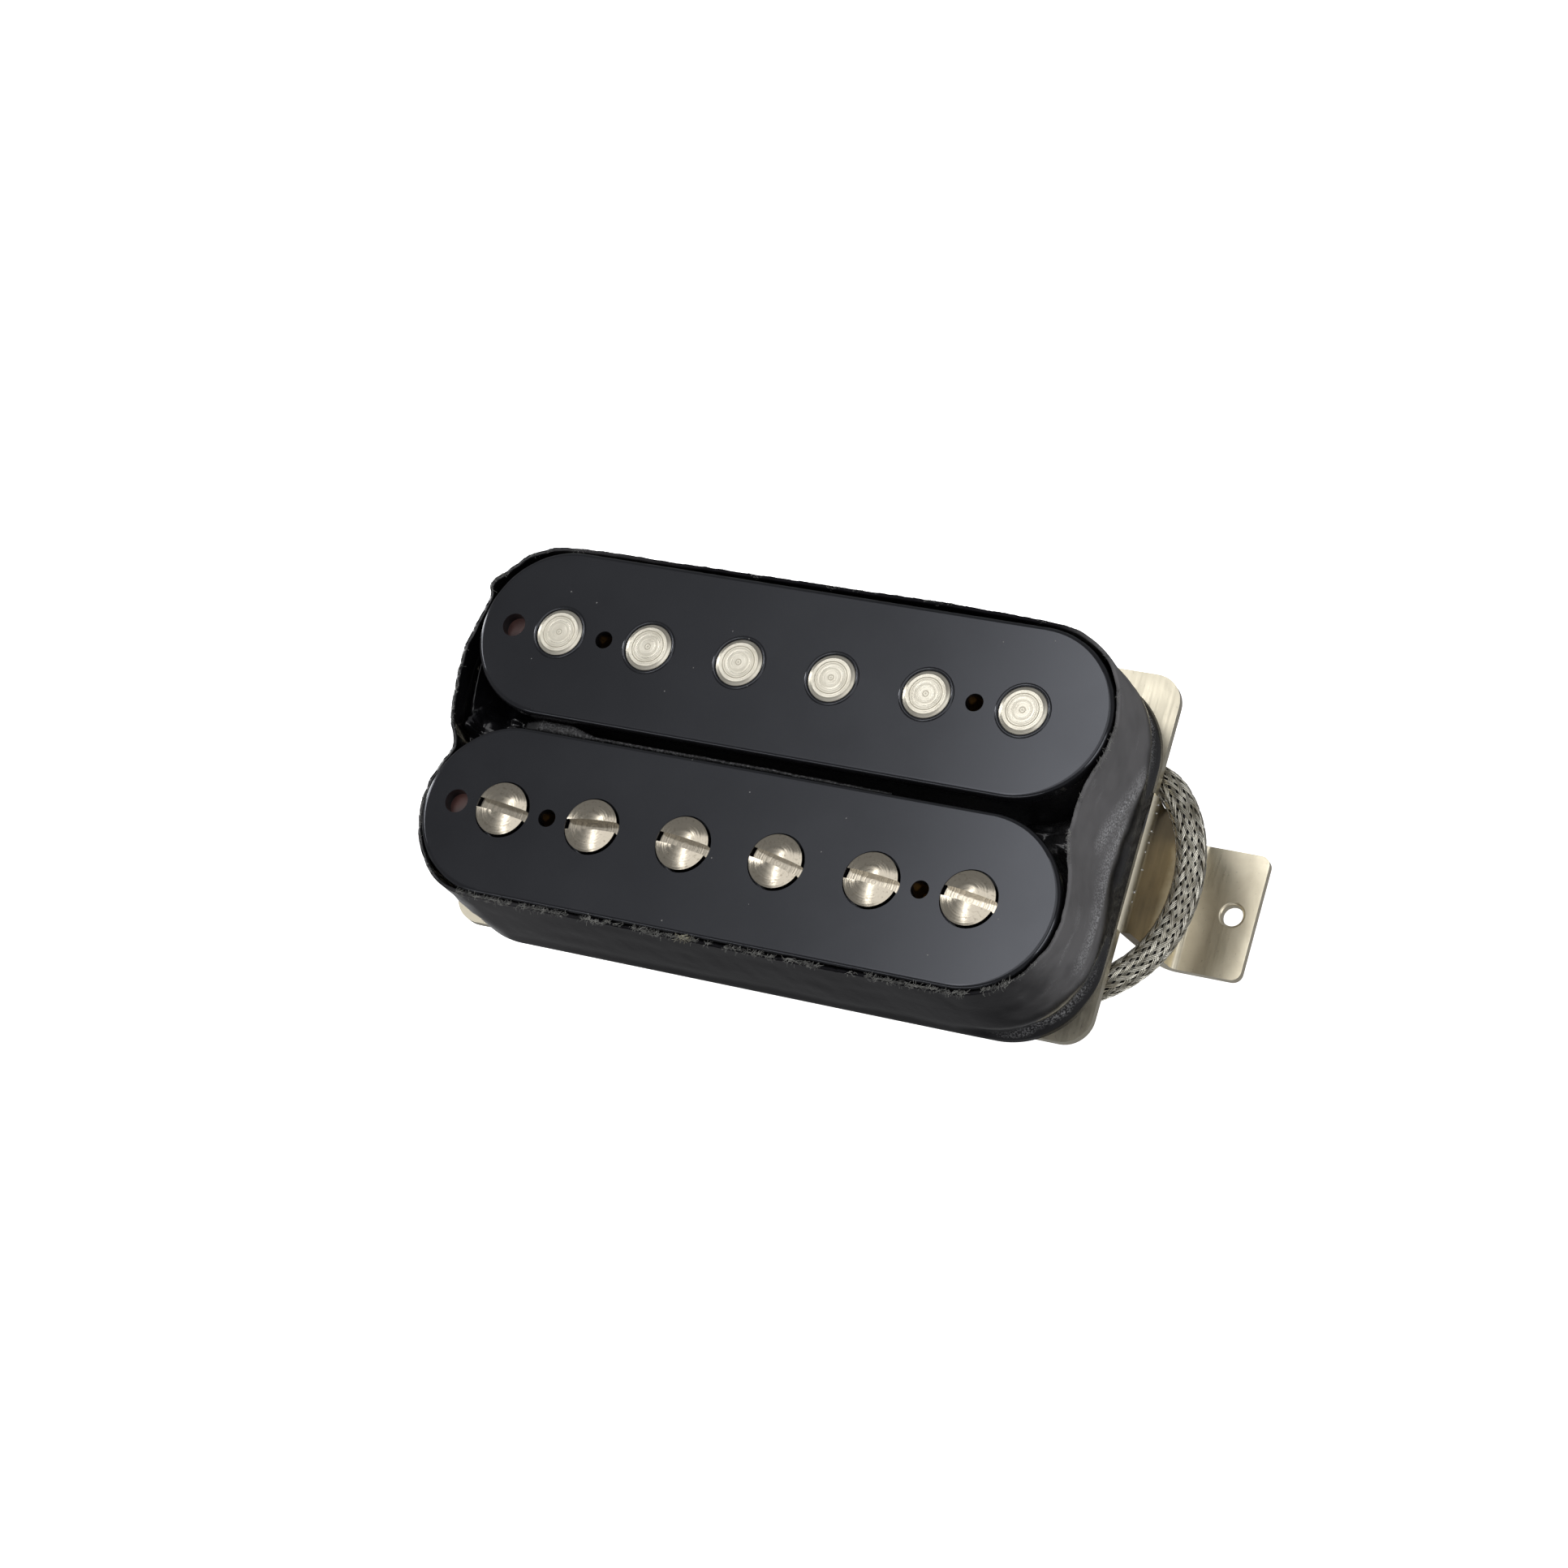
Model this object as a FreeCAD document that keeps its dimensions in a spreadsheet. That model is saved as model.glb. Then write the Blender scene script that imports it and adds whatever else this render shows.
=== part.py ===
"""Guitar pickup: an uncovered two-coil pickup on a stamped baseplate with two long legs.

All lengths are millimetres. X runs along the strings' row of poles, Y from the screw row to the
slug row, Z up. The origin is midway between the two foot holes, on the plane the feet stand on.
"""
import FreeCAD, Part
import math
import os
import Sketcher
from FreeCAD import Placement, Rotation, Vector

DOC = FreeCAD.newDocument("guitar_pickup")
SHEET = DOC.addObject("Spreadsheet::Sheet", "dims")

POLES = 6
QUARTER_TURN = math.pi / 2

# Driving sizes, in millimetres, one spreadsheet cell each
SIZES = {
    # Two rows of poles
    "pole_pitch": 9.84,
    "bobbin_gap": 1.5,
    "rows_shift": 1.2,
    "fit_gap": 0.05,
    "cut_overrun": 1.0,
    # Baseplate, its legs and feet
    "plate_end_margin": 1.0,
    "plate_side_margin": 0.75,
    "plate_thickness": 1.0,
    "plate_corner": 2.9,
    "leg_drop": 12.9,
    "leg_splay": 2.0,
    "leg_step": 0.5,
    "leg_shoulder": 1.6,
    "foot_width": 12.9,
    "foot_length": 6.9,
    "foot_corner": 1.0,
    "foot_hole_inset": 2.4,
    "foot_hole": 2.1,
    "foot_hole_round": 0.3,
    "bend_radius": 0.7,
    "plate_screw_gap": 0.45,
    "wire_hole_gap": 0.7,
    # Bobbins
    "bobbin_reach": 8.7,
    "bobbin_width": 17.3,
    "bobbin_height": 11.3,
    "flange_thickness": 1.3,
    "core_width": 7.4,
    "rim_round": 0.45,
    "end_hole": 2.4,
    "end_hole_reach": 5.15,
    # Coils and the tape round each
    "coil_inset": 0.75,
    "coil_tape": 0.3,
    # Slug poles
    "slug_diameter": 4.76,
    "slug_foot_gap": 0.7,
    "slug_chamfer": 0.38,
    "slug_proud": 0.2,
    # Pole screws
    "head_diameter": 5.34,
    "head_height": 2.2,
    "head_dome": 0.45,
    "head_proud": 0.3,
    "head_gap": 0.2,
    "head_room": 0.5,
    "slot_width": 1.0,
    "slot_depth": 1.25,
    "shank_diameter": 3.1,
    "shank_length": 17.5,
    "shank_gap": 0.2,
    "thread_gap": 0.06,
    # Keeper bar, magnet and spacer under the bobbins
    "keeper_reach": 5.4,
    "keeper_width": 6.4,
    "magnet_reach": 5.4,
    "magnet_height": 3.2,
    "magnet_round": 0.4,
    "spacer_reach": 2.4,
    "spacer_inset": 0.9,
    # Brass bobbin screws
    "brass_diameter": 1.7,
    "brass_depth": 2.8,
    "brass_point": 0.5,
    "brass_head": 3.0,
    "brass_head_height": 1.1,
    "brass_slot": 0.5,
    # Outer tape
    "tape_thickness": 0.5,
    "tape_drop": 0.45,
    "tape_flare": 0.35,
    "tape_front_flare": 0.15,
    "tape_corner": 7.0,
    # Hookup wires
    "wire_diameter": 1.2,
    "wire_bend": 1.3,
    "wire_lane_gap": 0.3,
    "hot_wire_run": 33.0,
    # Braided lead, its hank and its stripped end
    "cable_diameter": 3.0,
    "solder_length": 6.0,
    "solder_side": 0.8,
    "solder_gap": 0.45,
    "solder_height": 3.6,
    "solder_round": 1.3,
    "lobe_radius": 9.0,
    "strand_gap": 0.6,
    "waist_length": 6.0,
    "end_stub": 1.5,
    "tie_length": 4.0,
    "tie_thickness": 0.5,
    "core_diameter": 1.5,
    "core_reach": 9.0,
    "tip_diameter": 0.8,
    "tip_reach": 5.0,
}

# Angle of each pole screw's slot from the X axis, in degrees
SLOT_ANGLES = [-6, 6, -6, -11, -4, -7]

# Route of the lead cable: out of the solder joint, round the leg and under the plate again.
# The two points at the leg's far corner bend it as tightly as it is bent there in fact, to a
# radius of about two diameters. The last point is where its hank begins.
LEAD_ROUTE = [
    (15.5, -14.9, 11.2),
    (20.6, -14.9, 11.2),
    (26.0, -14.4, 10.9),
    (31.0, -12.6, 10.5),
    (35.2, -9.7, 10.1),
    (38.0, -5.7, 9.9),
    (39.2, -1.0, 9.8),
    (38.6, 3.5, 9.8),
    (37.0, 7.1, 9.8),
    (33.9, 9.3, 9.7),
    (30.0, 9.5, 9.0),
    (25.2, 9.3, 7.3),
    (20.4, 9.2, 5.65),
    (16.2, 9.2, 5.65),
]


class Size:
    """A length together with the sheet expression that gives it."""

    def __init__(self, value, text):
        self.value = value
        self.text = text

    def _joined(self, other, sign, result):
        other_text = other.text if isinstance(other, Size) else repr(other)
        return Size(result, f"({self.text} {sign} {other_text})")

    def __add__(self, other):
        return self._joined(other, "+", self.value + amount(other))

    def __sub__(self, other):
        return self._joined(other, "-", self.value - amount(other))

    def __mul__(self, other):
        return self._joined(other, "*", self.value * amount(other))

    def __truediv__(self, other):
        return self._joined(other, "/", self.value / amount(other))

    def __neg__(self):
        return Size(-self.value, f"(0 - {self.text})")


def amount(length):
    return length.value if isinstance(length, Size) else length


def fill_sheet():
    for line, (name, length) in enumerate(SIZES.items(), start=1):
        SHEET.set(f"A{line}", name)
        SHEET.set(f"B{line}", str(length))
        SHEET.setAlias(f"B{line}", name)
    DOC.recompute()


def read(name):
    """A length in millimetres, read from the sheet."""
    return SHEET.get(name)


def size(name):
    """A length from the sheet together with its expression."""
    return Size(read(name), f"dims.{name}")


fill_sheet()
ZERO = Size(0, "0")

# Levels, counted up from the plane of the feet
plate_under = size("leg_drop")
plate_top = size("leg_drop") + size("plate_thickness")
bobbin_seat = plate_top + size("magnet_height")
bobbin_top = bobbin_seat + size("bobbin_height")

# Places across and along the plate
row_spacing = size("bobbin_width") + size("bobbin_gap")
slug_row = row_spacing / 2 - size("rows_shift")
screw_row = -row_spacing / 2 - size("rows_shift")
outer_pole = size("pole_pitch") * ((POLES - 1) / 2)
post_place = size("pole_pitch") * 2
bobbin_end = outer_pole + size("bobbin_reach")
magnet_end = outer_pole + size("magnet_reach")
lane_reach = size("keeper_width") / 2 + size("wire_lane_gap") + size("wire_diameter") / 2
wire_lane = screw_row - lane_reach
plate_end = bobbin_end + size("plate_end_margin")
plate_side = (row_spacing + size("bobbin_width")) / 2 + size("plate_side_margin")
foot_inner = plate_end + size("leg_splay")
foot_outer = foot_inner + size("foot_length")
foot_hole_place = foot_outer - size("foot_hole_inset")
core_length = outer_pole * 2 + size("core_width")
brass_bore = size("brass_diameter") + size("fit_gap") * 2


def pole_places():
    """Distances of the poles from the middle of a row, left to right."""
    return [size("pole_pitch") * (number - (POLES - 1) / 2) for number in range(POLES)]


def bind(thing, prop, length):
    """Ties a property to the sheet."""
    thing.setExpression(prop, length.text)


def bind_list(sketch, index, length):
    """Ties the sketch constraint of that index to the sheet."""
    sketch.setExpression(f"Constraints[{index}]", length.text)


def place(thing, x=ZERO, y=ZERO, z=ZERO):
    """Puts a finished object at its place in the pickup, tied to the sheet."""
    for axis, length in zip("xyz", (x, y, z)):
        bind(thing, f"Placement.Base.{axis}", length)


def new_body(label):
    body = DOC.addObject("PartDesign::Body", label)
    body.Label = label
    return body


def new_sketch(body, name, role="XY_Plane", level=None):
    """An empty sketch on one of the body's own origin planes, raised to a level along its normal."""
    sketch = body.newObject("Sketcher::SketchObject", f"{body.Name}_{name}")
    plane = next(item for item in body.Origin.OriginFeatures if item.Role == role)
    sketch.AttachmentSupport = (plane, [""])
    sketch.MapMode = "FlatFace"
    if level is not None:
        bind(sketch, "AttachmentOffset.Base.z", level)
    return sketch


def fix_point(sketch, geometry, point, x, y):
    """Ties one point of a sketch to its place from the sketch's origin."""
    for kind, length in (("DistanceX", x), ("DistanceY", y)):
        index = sketch.addConstraint(
            Sketcher.Constraint(kind, -1, 1, geometry, point, length.value)
        )
        bind_list(sketch, index, length)


def fix_radius(sketch, geometry, radius):
    index = sketch.addConstraint(Sketcher.Constraint("Radius", geometry, radius.value))
    bind_list(sketch, index, radius)


def draw_circle(sketch, x, y, diameter):
    centre = Vector(x.value, y.value, 0)
    circle = Part.Circle(centre, Vector(0, 0, 1), diameter.value / 2)
    geometry = sketch.addGeometry(circle, False)
    fix_point(sketch, geometry, 3, x, y)
    fix_radius(sketch, geometry, diameter / 2)


def draw_polygon(sketch, corners, rounds=None):
    """A closed outline through corners given as pairs of sizes.

    rounds gives the radius of each corner that is round, by the corner's number.
    """
    rounds = rounds or {}
    points = [Vector(x.value, y.value, 0) for x, y in corners]
    count = len(points)
    spans = []
    for number, point in enumerate(points):
        back = (points[number - 1] - point).normalize()
        ahead = (points[(number + 1) % count] - point).normalize()
        if number in rounds:
            half = back.getAngle(ahead) / 2
            reach = rounds[number].value / math.tan(half)
            centre = point + (back + ahead).normalize() * rounds[number].value / math.sin(half)
            spans.append((point + back * reach, centre, point + ahead * reach))
        else:
            spans.append((point, None, point))
    lines = []
    for number in range(count):
        line = Part.LineSegment(spans[number][2], spans[(number + 1) % count][0])
        lines.append(sketch.addGeometry(line, False))
    for number, line in enumerate(lines):
        before = lines[number - 1]
        if number not in rounds:
            sketch.addConstraint(Sketcher.Constraint("Coincident", before, 2, line, 1))
            fix_point(sketch, line, 1, *corners[number])
            continue
        start, centre, end = spans[number]
        leftward = (start - centre).cross(end - centre).z > 0
        first, second = (start, end) if leftward else (end, start)
        angles = [math.atan2(spot.y - centre.y, spot.x - centre.x) for spot in (first, second)]
        circle = Part.Circle(centre, Vector(0, 0, 1), rounds[number].value)
        arc = sketch.addGeometry(Part.ArcOfCircle(circle, *angles), False)
        ends = (1, 2) if leftward else (2, 1)
        sketch.addConstraint(Sketcher.Constraint("Tangent", before, 2, arc, ends[0]))
        sketch.addConstraint(Sketcher.Constraint("Tangent", arc, ends[1], line, 1))
        fix_radius(sketch, arc, rounds[number])
        corner = sketch.addGeometry(Part.Point(points[number]), True)
        sketch.addConstraint(Sketcher.Constraint("PointOnObject", corner, 1, before))
        sketch.addConstraint(Sketcher.Constraint("PointOnObject", corner, 1, line))
        fix_point(sketch, corner, 1, *corners[number])


def draw_round_box(sketch, x_low, x_high, y_low, y_high, radius):
    """A closed rectangle with four equal round corners."""
    centres = [
        (x_high - radius, y_high - radius),
        (x_low + radius, y_high - radius),
        (x_low + radius, y_low + radius),
        (x_high - radius, y_low + radius),
    ]
    arcs = []
    for number, (x, y) in enumerate(centres):
        circle = Part.Circle(Vector(x.value, y.value, 0), Vector(0, 0, 1), radius.value)
        start = number * QUARTER_TURN
        arc = Part.ArcOfCircle(circle, start, start + QUARTER_TURN)
        arcs.append(sketch.addGeometry(arc, False))
    for number, arc in enumerate(arcs):
        after = arcs[(number + 1) % len(arcs)]
        start = sketch.getPoint(arc, 2)
        end = sketch.getPoint(after, 1)
        line = sketch.addGeometry(Part.LineSegment(start, end), False)
        sketch.addConstraint(Sketcher.Constraint("Tangent", arc, 2, line, 1))
        sketch.addConstraint(Sketcher.Constraint("Tangent", line, 2, after, 1))
    for arc, (x, y) in zip(arcs, centres):
        fix_point(sketch, arc, 3, x, y)
        fix_radius(sketch, arc, radius)


def draw_stadium(sketch, length, width):
    """A closed slot shape about the sketch's origin: two half circles and two lines."""
    radius = width / 2
    reach = (length - width) / 2
    ends = [(reach, -QUARTER_TURN), (-reach, QUARTER_TURN)]
    arcs = []
    for x, start in ends:
        circle = Part.Circle(Vector(x.value, 0, 0), Vector(0, 0, 1), radius.value)
        arc = Part.ArcOfCircle(circle, start, start + math.pi)
        arcs.append(sketch.addGeometry(arc, False))
    for arc, after in (arcs, arcs[::-1]):
        start = sketch.getPoint(arc, 2)
        end = sketch.getPoint(after, 1)
        line = sketch.addGeometry(Part.LineSegment(start, end), False)
        sketch.addConstraint(Sketcher.Constraint("Tangent", arc, 2, line, 1))
        sketch.addConstraint(Sketcher.Constraint("Tangent", line, 2, after, 1))
    for arc, (x, _) in zip(arcs, ends):
        fix_radius(sketch, arc, radius)
        index = sketch.addConstraint(
            Sketcher.Constraint("DistanceX", -1, 1, arc, 3, x.value)
        )
        bind_list(sketch, index, x)
        sketch.addConstraint(Sketcher.Constraint("PointOnObject", arc, 3, -1))


def pad(body, sketch, length, midplane=False, down=False):
    feature = body.newObject("PartDesign::Pad", f"{sketch.Name}_pad")
    feature.Profile = sketch
    feature.Midplane = midplane
    feature.Reversed = down
    bind(feature, "Length", length)
    sketch.Visibility = False
    DOC.recompute()
    return feature


def pocket(body, sketch, depth, up=False):
    """Cuts a sketch's outline out of the body, down from the sketch or up from it."""
    before = body.Shape.Volume
    feature = body.newObject("PartDesign::Pocket", f"{sketch.Name}_pocket")
    feature.Profile = sketch
    feature.Reversed = up
    bind(feature, "Length", depth)
    DOC.recompute()
    if not body.Shape.Volume < before:
        raise ValueError(f"{feature.Name} cuts nothing")
    return feature


def fillet(body, radius, chosen):
    """Rounds the edges of the body's last feature that pass the test."""
    base = body.Tip
    names = []
    for number, edge in enumerate(base.Shape.Edges, start=1):
        if chosen(edge):
            names.append(f"Edge{number}")
    if not names:
        raise ValueError(f"{body.Name} has no edge to round")
    feature = body.newObject("PartDesign::Fillet", f"{base.Name}_round")
    feature.Base = (base, names)
    bind(feature, "Radius", radius)
    DOC.recompute()
    return feature


def near(first, second):
    return abs(first - second) < read("fit_gap") / 10


def at_level(edge, level):
    """True for an edge that lies wholly at one height in its body."""
    box = edge.BoundBox
    return near(box.ZMin, level) and near(box.ZMax, level)


def make_baseplate():
    """One stamping: the flat plate, a leg bent down at each end and a foot turned out from it."""
    body = new_body("baseplate")
    thickness = size("plate_thickness")
    outline = new_sketch(body, "outline", level=plate_under)
    corner = size("plate_corner")
    draw_round_box(outline, -plate_end, plate_end, -plate_side, plate_side, corner)
    pad(body, outline, thickness)

    # The bend takes the place of the plate's edge over the width of the leg
    root = plate_end - thickness - size("bend_radius") * 2
    narrow = size("foot_width") / 2
    wide = narrow + size("leg_step")
    notch = new_sketch(body, "notch", level=plate_top)
    beyond = plate_end + size("cut_overrun")
    draw_polygon(notch, [(root, -wide), (beyond, -wide), (beyond, wide), (root, wide)])
    notch_cut = pocket(body, notch, thickness)
    side = new_sketch(body, "leg_side", "XZ_Plane")
    profile = [
        (root, plate_top),
        (plate_end, plate_top),
        (foot_inner, thickness),
        (foot_outer, thickness),
        (foot_outer, ZERO),
        (foot_inner - thickness, ZERO),
        (plate_end - thickness, plate_under),
        (root, plate_under),
    ]
    inside = size("bend_radius")
    outside = inside + thickness
    draw_polygon(side, profile, {1: outside, 2: inside, 5: outside, 6: inside})
    leg = pad(body, side, wide * 2, midplane=True)

    # The leg narrows to the foot's width over a short shoulder under the plate
    shoulder = plate_under - size("leg_shoulder")
    away = wide + size("cut_overrun")
    below = -size("cut_overrun")
    trims = []
    for number, side_sign in enumerate((1, -1)):
        trim = new_sketch(body, f"leg_trim_{number}", "YZ_Plane", root)
        corners = [
            (wide * side_sign, plate_under),
            (away * side_sign, plate_under),
            (away * side_sign, below),
            (narrow * side_sign, below),
            (narrow * side_sign, shoulder),
        ]
        draw_polygon(trim, corners)
        trims.append(pocket(body, trim, foot_outer, up=True))

    hole = new_sketch(body, "foot_hole", level=thickness)
    draw_circle(hole, foot_hole_place, ZERO, size("foot_hole"))
    hole_cut = pocket(body, hole, thickness + size("cut_overrun"))

    mirror = body.newObject("PartDesign::Mirrored", "baseplate_mirror")
    mirror.Originals = [notch_cut, leg, *trims, hole_cut]
    plane = next(item for item in body.Origin.OriginFeatures if item.Role == "YZ_Plane")
    mirror.MirrorPlane = (plane, [""])
    body.Tip = mirror
    DOC.recompute()

    holes = new_sketch(body, "holes", level=plate_top)
    for x in pole_places():
        draw_circle(holes, x, screw_row, size("shank_diameter") + size("plate_screw_gap") * 2)
    for x in (-post_place, post_place):
        for y in (screw_row, slug_row):
            draw_circle(holes, x, y, brass_bore)
    wire_hole = size("wire_diameter") + size("wire_hole_gap") * 2
    draw_circle(holes, wire_entry(), wire_lane, wire_hole)
    pocket(body, holes, thickness + size("cut_overrun"))

    end = foot_outer.value
    gauge = thickness.value
    fillet(
        body,
        size("foot_corner"),
        lambda e: near(abs(e.BoundBox.XMin), end)
        and near(e.BoundBox.XLength, 0)
        and near(e.BoundBox.YLength, 0),
    )
    fillet(
        body,
        size("foot_hole_round"),
        lambda e: at_level(e, gauge)
        and near(e.BoundBox.XLength, size("foot_hole").value)
        and near(e.BoundBox.YLength, size("foot_hole").value),
    )
    return body


def wire_entry():
    """Where the hot wire comes up through the plate: over the middle of the solder joint."""
    start = Size(LEAD_ROUTE[0][0], repr(LEAD_ROUTE[0][0]))
    return start - size("solder_length") / 2


def make_bobbin(label, row, is_screw_row):
    """A moulded spool: two flanges on a core, with the poles' holes through it."""
    body = new_body(label)
    height = size("bobbin_height")
    length = bobbin_end * 2
    width = size("bobbin_width")
    flange = size("flange_thickness")
    levels = (ZERO, height - flange)
    for name, level in zip(("lower_flange", "upper_flange"), levels):
        sketch = new_sketch(body, name, level=level)
        draw_stadium(sketch, length, width)
        if level is ZERO:
            pad(body, sketch, flange)
            middle = new_sketch(body, "core")
            draw_stadium(middle, core_length, size("core_width"))
            pad(body, middle, height)
        else:
            pad(body, sketch, flange)

    deep = height + size("cut_overrun")
    bores = new_sketch(body, "pole_bores", level=height)
    if is_screw_row:
        bore = size("shank_diameter") + size("shank_gap") * 2
    else:
        bore = size("slug_diameter") + size("fit_gap") * 2
    for x in pole_places():
        draw_circle(bores, x, ZERO, bore)
    for x in (-post_place, post_place):
        draw_circle(bores, x, ZERO, brass_bore)
    pocket(body, bores, deep)
    if is_screw_row:
        wells = new_sketch(body, "head_wells", level=height)
        for x in pole_places():
            draw_circle(wells, x, ZERO, size("head_diameter") + size("head_gap") * 2)
        pocket(body, wells, size("head_height") - size("head_proud") + size("head_room"))
    end = new_sketch(body, "end_hole", level=height)
    draw_circle(end, -outer_pole - size("end_hole_reach"), ZERO, size("end_hole"))
    pocket(body, end, flange)

    def outer_rim(edge):
        rim = near(edge.BoundBox.YMax, width.value / 2) or near(-edge.BoundBox.YMin, width.value / 2)
        return at_level(edge, height.value) and rim

    fillet(body, size("rim_round"), outer_rim)
    place(body, y=row, z=bobbin_seat)
    return body


def make_coil(label, row):
    """The winding: a ring of fine wire filling the spool between its flanges."""
    body = new_body(label)
    sketch = new_sketch(body, "section")
    gap = size("fit_gap")
    outer_cut = (size("coil_inset") + size("coil_tape")) * 2
    draw_stadium(sketch, bobbin_end * 2 - outer_cut, size("bobbin_width") - outer_cut)
    draw_stadium(sketch, core_length + gap * 2, size("core_width") + gap * 2)
    pad(body, sketch, size("bobbin_height") - size("flange_thickness") * 2)
    place(body, y=row, z=bobbin_seat + size("flange_thickness"))
    return body


def make_coil_tape(label, row):
    """One turn of thin tape on the outside of a coil."""
    body = new_body(label)
    sketch = new_sketch(body, "section")
    outer = size("coil_inset") * 2
    inner = (size("coil_inset") + size("coil_tape")) * 2
    draw_stadium(sketch, bobbin_end * 2 - outer, size("bobbin_width") - outer)
    draw_stadium(sketch, bobbin_end * 2 - inner, size("bobbin_width") - inner)
    pad(body, sketch, size("bobbin_height") - size("flange_thickness") * 2)
    place(body, y=row, z=bobbin_seat + size("flange_thickness"))
    return body


def revolve(body, sketch):
    feature = body.newObject("PartDesign::Revolution", f"{sketch.Name}_turned")
    feature.Profile = sketch
    feature.ReferenceAxis = (sketch, ["V_Axis"])
    DOC.recompute()
    return feature


def make_group(label, blank, spots):
    """Copies one blank to several spots, as a group of separate solids in one node."""
    blank.Visibility = False
    solids = []
    for x, y, z in spots:
        solid = blank.Shape.copy()
        solid.translate(Vector(x.value, y.value, z.value))
        solids.append(solid)
    group = DOC.addObject("Part::Feature", label)
    group.Label = label
    group.Shape = Part.makeCompound(solids)
    return group


def make_slug_poles():
    """Six turned steel rods with a chamfered top edge, pressed into the slug bobbin."""
    blank = new_body("slug_blank")
    sketch = new_sketch(blank, "section", "XZ_Plane")
    radius = size("slug_diameter") / 2
    foot = plate_top + size("slug_foot_gap")
    length = bobbin_top + size("slug_proud") - foot
    chamfer = size("slug_chamfer")
    outline = [
        (ZERO, ZERO),
        (radius, ZERO),
        (radius, length - chamfer / 2),
        (radius - chamfer, length),
        (ZERO, length),
    ]
    draw_polygon(sketch, outline)
    revolve(blank, sketch)
    return make_group("slug_poles", blank, [(x, slug_row, foot) for x in pole_places()])


def make_pole_screw(number, x):
    """A fillister-head screw. Its own zero is the underside of its head."""
    body = new_body(f"pole_screw_{number + 1}")
    head = size("head_diameter") / 2
    shank = size("shank_diameter") / 2
    edge = size("head_height")
    top = edge + size("head_dome")
    tip = -size("shank_length")
    point = shank / 3

    shaft = new_sketch(body, "shank", "XZ_Plane")
    outline = [
        (ZERO, ZERO),
        (shank, ZERO),
        (shank, tip + point),
        (shank - point, tip),
        (ZERO, tip),
    ]
    draw_polygon(shaft, outline)
    revolve(body, shaft)

    # The head is a cylinder under a shallow dome, drawn as lines and one arc
    cap = new_sketch(body, "head", "XZ_Plane")
    rise = size("head_dome").value
    dome_radius = (head.value**2 + rise**2) / (2 * rise)
    dome_centre = top.value - dome_radius
    start = math.asin((edge.value - dome_centre) / dome_radius)
    circle = Part.Circle(Vector(0, dome_centre, 0), Vector(0, 0, 1), dome_radius)
    arc = cap.addGeometry(Part.ArcOfCircle(circle, start, QUARTER_TURN), False)
    corners = [(ZERO, top), (ZERO, ZERO), (head, ZERO), (head, edge)]
    lines = []
    for (x_start, z_start), (x_end, z_end) in zip(corners, corners[1:]):
        first = Vector(x_start.value, z_start.value, 0)
        second = Vector(x_end.value, z_end.value, 0)
        lines.append(cap.addGeometry(Part.LineSegment(first, second), False))
    for before, after in zip(lines, lines[1:]):
        cap.addConstraint(Sketcher.Constraint("Coincident", before, 2, after, 1))
    cap.addConstraint(Sketcher.Constraint("Coincident", lines[-1], 2, arc, 1))
    cap.addConstraint(Sketcher.Constraint("Coincident", arc, 2, lines[0], 1))
    cap.addConstraint(Sketcher.Constraint("PointOnObject", arc, 3, -2))
    for line, corner in zip(lines, corners):
        fix_point(cap, line, 1, *corner)
    fix_point(cap, lines[-1], 2, *corners[-1])
    revolve(body, cap)

    slot = new_sketch(body, "slot", level=top)
    reach = head + size("cut_overrun")
    half = size("slot_width") / 2
    draw_polygon(slot, [(-reach, -half), (reach, -half), (reach, half), (-reach, half)])
    pocket(body, slot, size("slot_depth"))

    body.Placement = Placement(Vector(), Rotation(Vector(0, 0, 1), SLOT_ANGLES[number]))
    place(body, x, screw_row, bobbin_top + size("head_proud") - edge)
    return body


def make_keeper_bar():
    """Steel bar under the screw bobbin, tapped for the pole screws. Threads are plain bores."""
    body = new_body("keeper_bar")
    sketch = new_sketch(body, "section")
    half_length = outer_pole + size("keeper_reach")
    half_width = size("keeper_width") / 2
    corner = size("magnet_round")
    draw_round_box(sketch, -half_length, half_length, -half_width, half_width, corner)
    for x in pole_places():
        draw_circle(sketch, x, ZERO, size("shank_diameter") + size("thread_gap") * 2)
    for x in (-post_place, post_place):
        draw_circle(sketch, x, ZERO, brass_bore)
    pad(body, sketch, size("magnet_height"))
    place(body, y=screw_row, z=plate_top)
    return body


def make_bar(label, end, y_low, y_high, corner):
    """A plain bar in the layer between the plate and the bobbins."""
    body = new_body(label)
    sketch = new_sketch(body, "section")
    draw_round_box(sketch, -end, end, y_low, y_high, corner)
    pad(body, sketch, size("magnet_height"))
    place(body, z=plate_top)
    return body


def make_magnet_and_spacer():
    """The magnet fills the room between the keeper and the slugs, the spacer the outer side."""
    slug_radius = size("slug_diameter") / 2
    gap = size("fit_gap")
    keeper_side = screw_row + size("keeper_width") / 2 + gap
    slug_side = slug_row - slug_radius - gap
    corner = size("magnet_round")
    magnet = make_bar("bar_magnet", magnet_end, keeper_side, slug_side, corner)
    inner = slug_row + slug_radius + gap
    outer = slug_row + size("bobbin_width") / 2 - size("spacer_inset")
    spacer_end = outer_pole + size("spacer_reach")
    spacer = make_bar("wood_spacer", spacer_end, inner, outer, corner)
    return magnet, spacer


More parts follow.
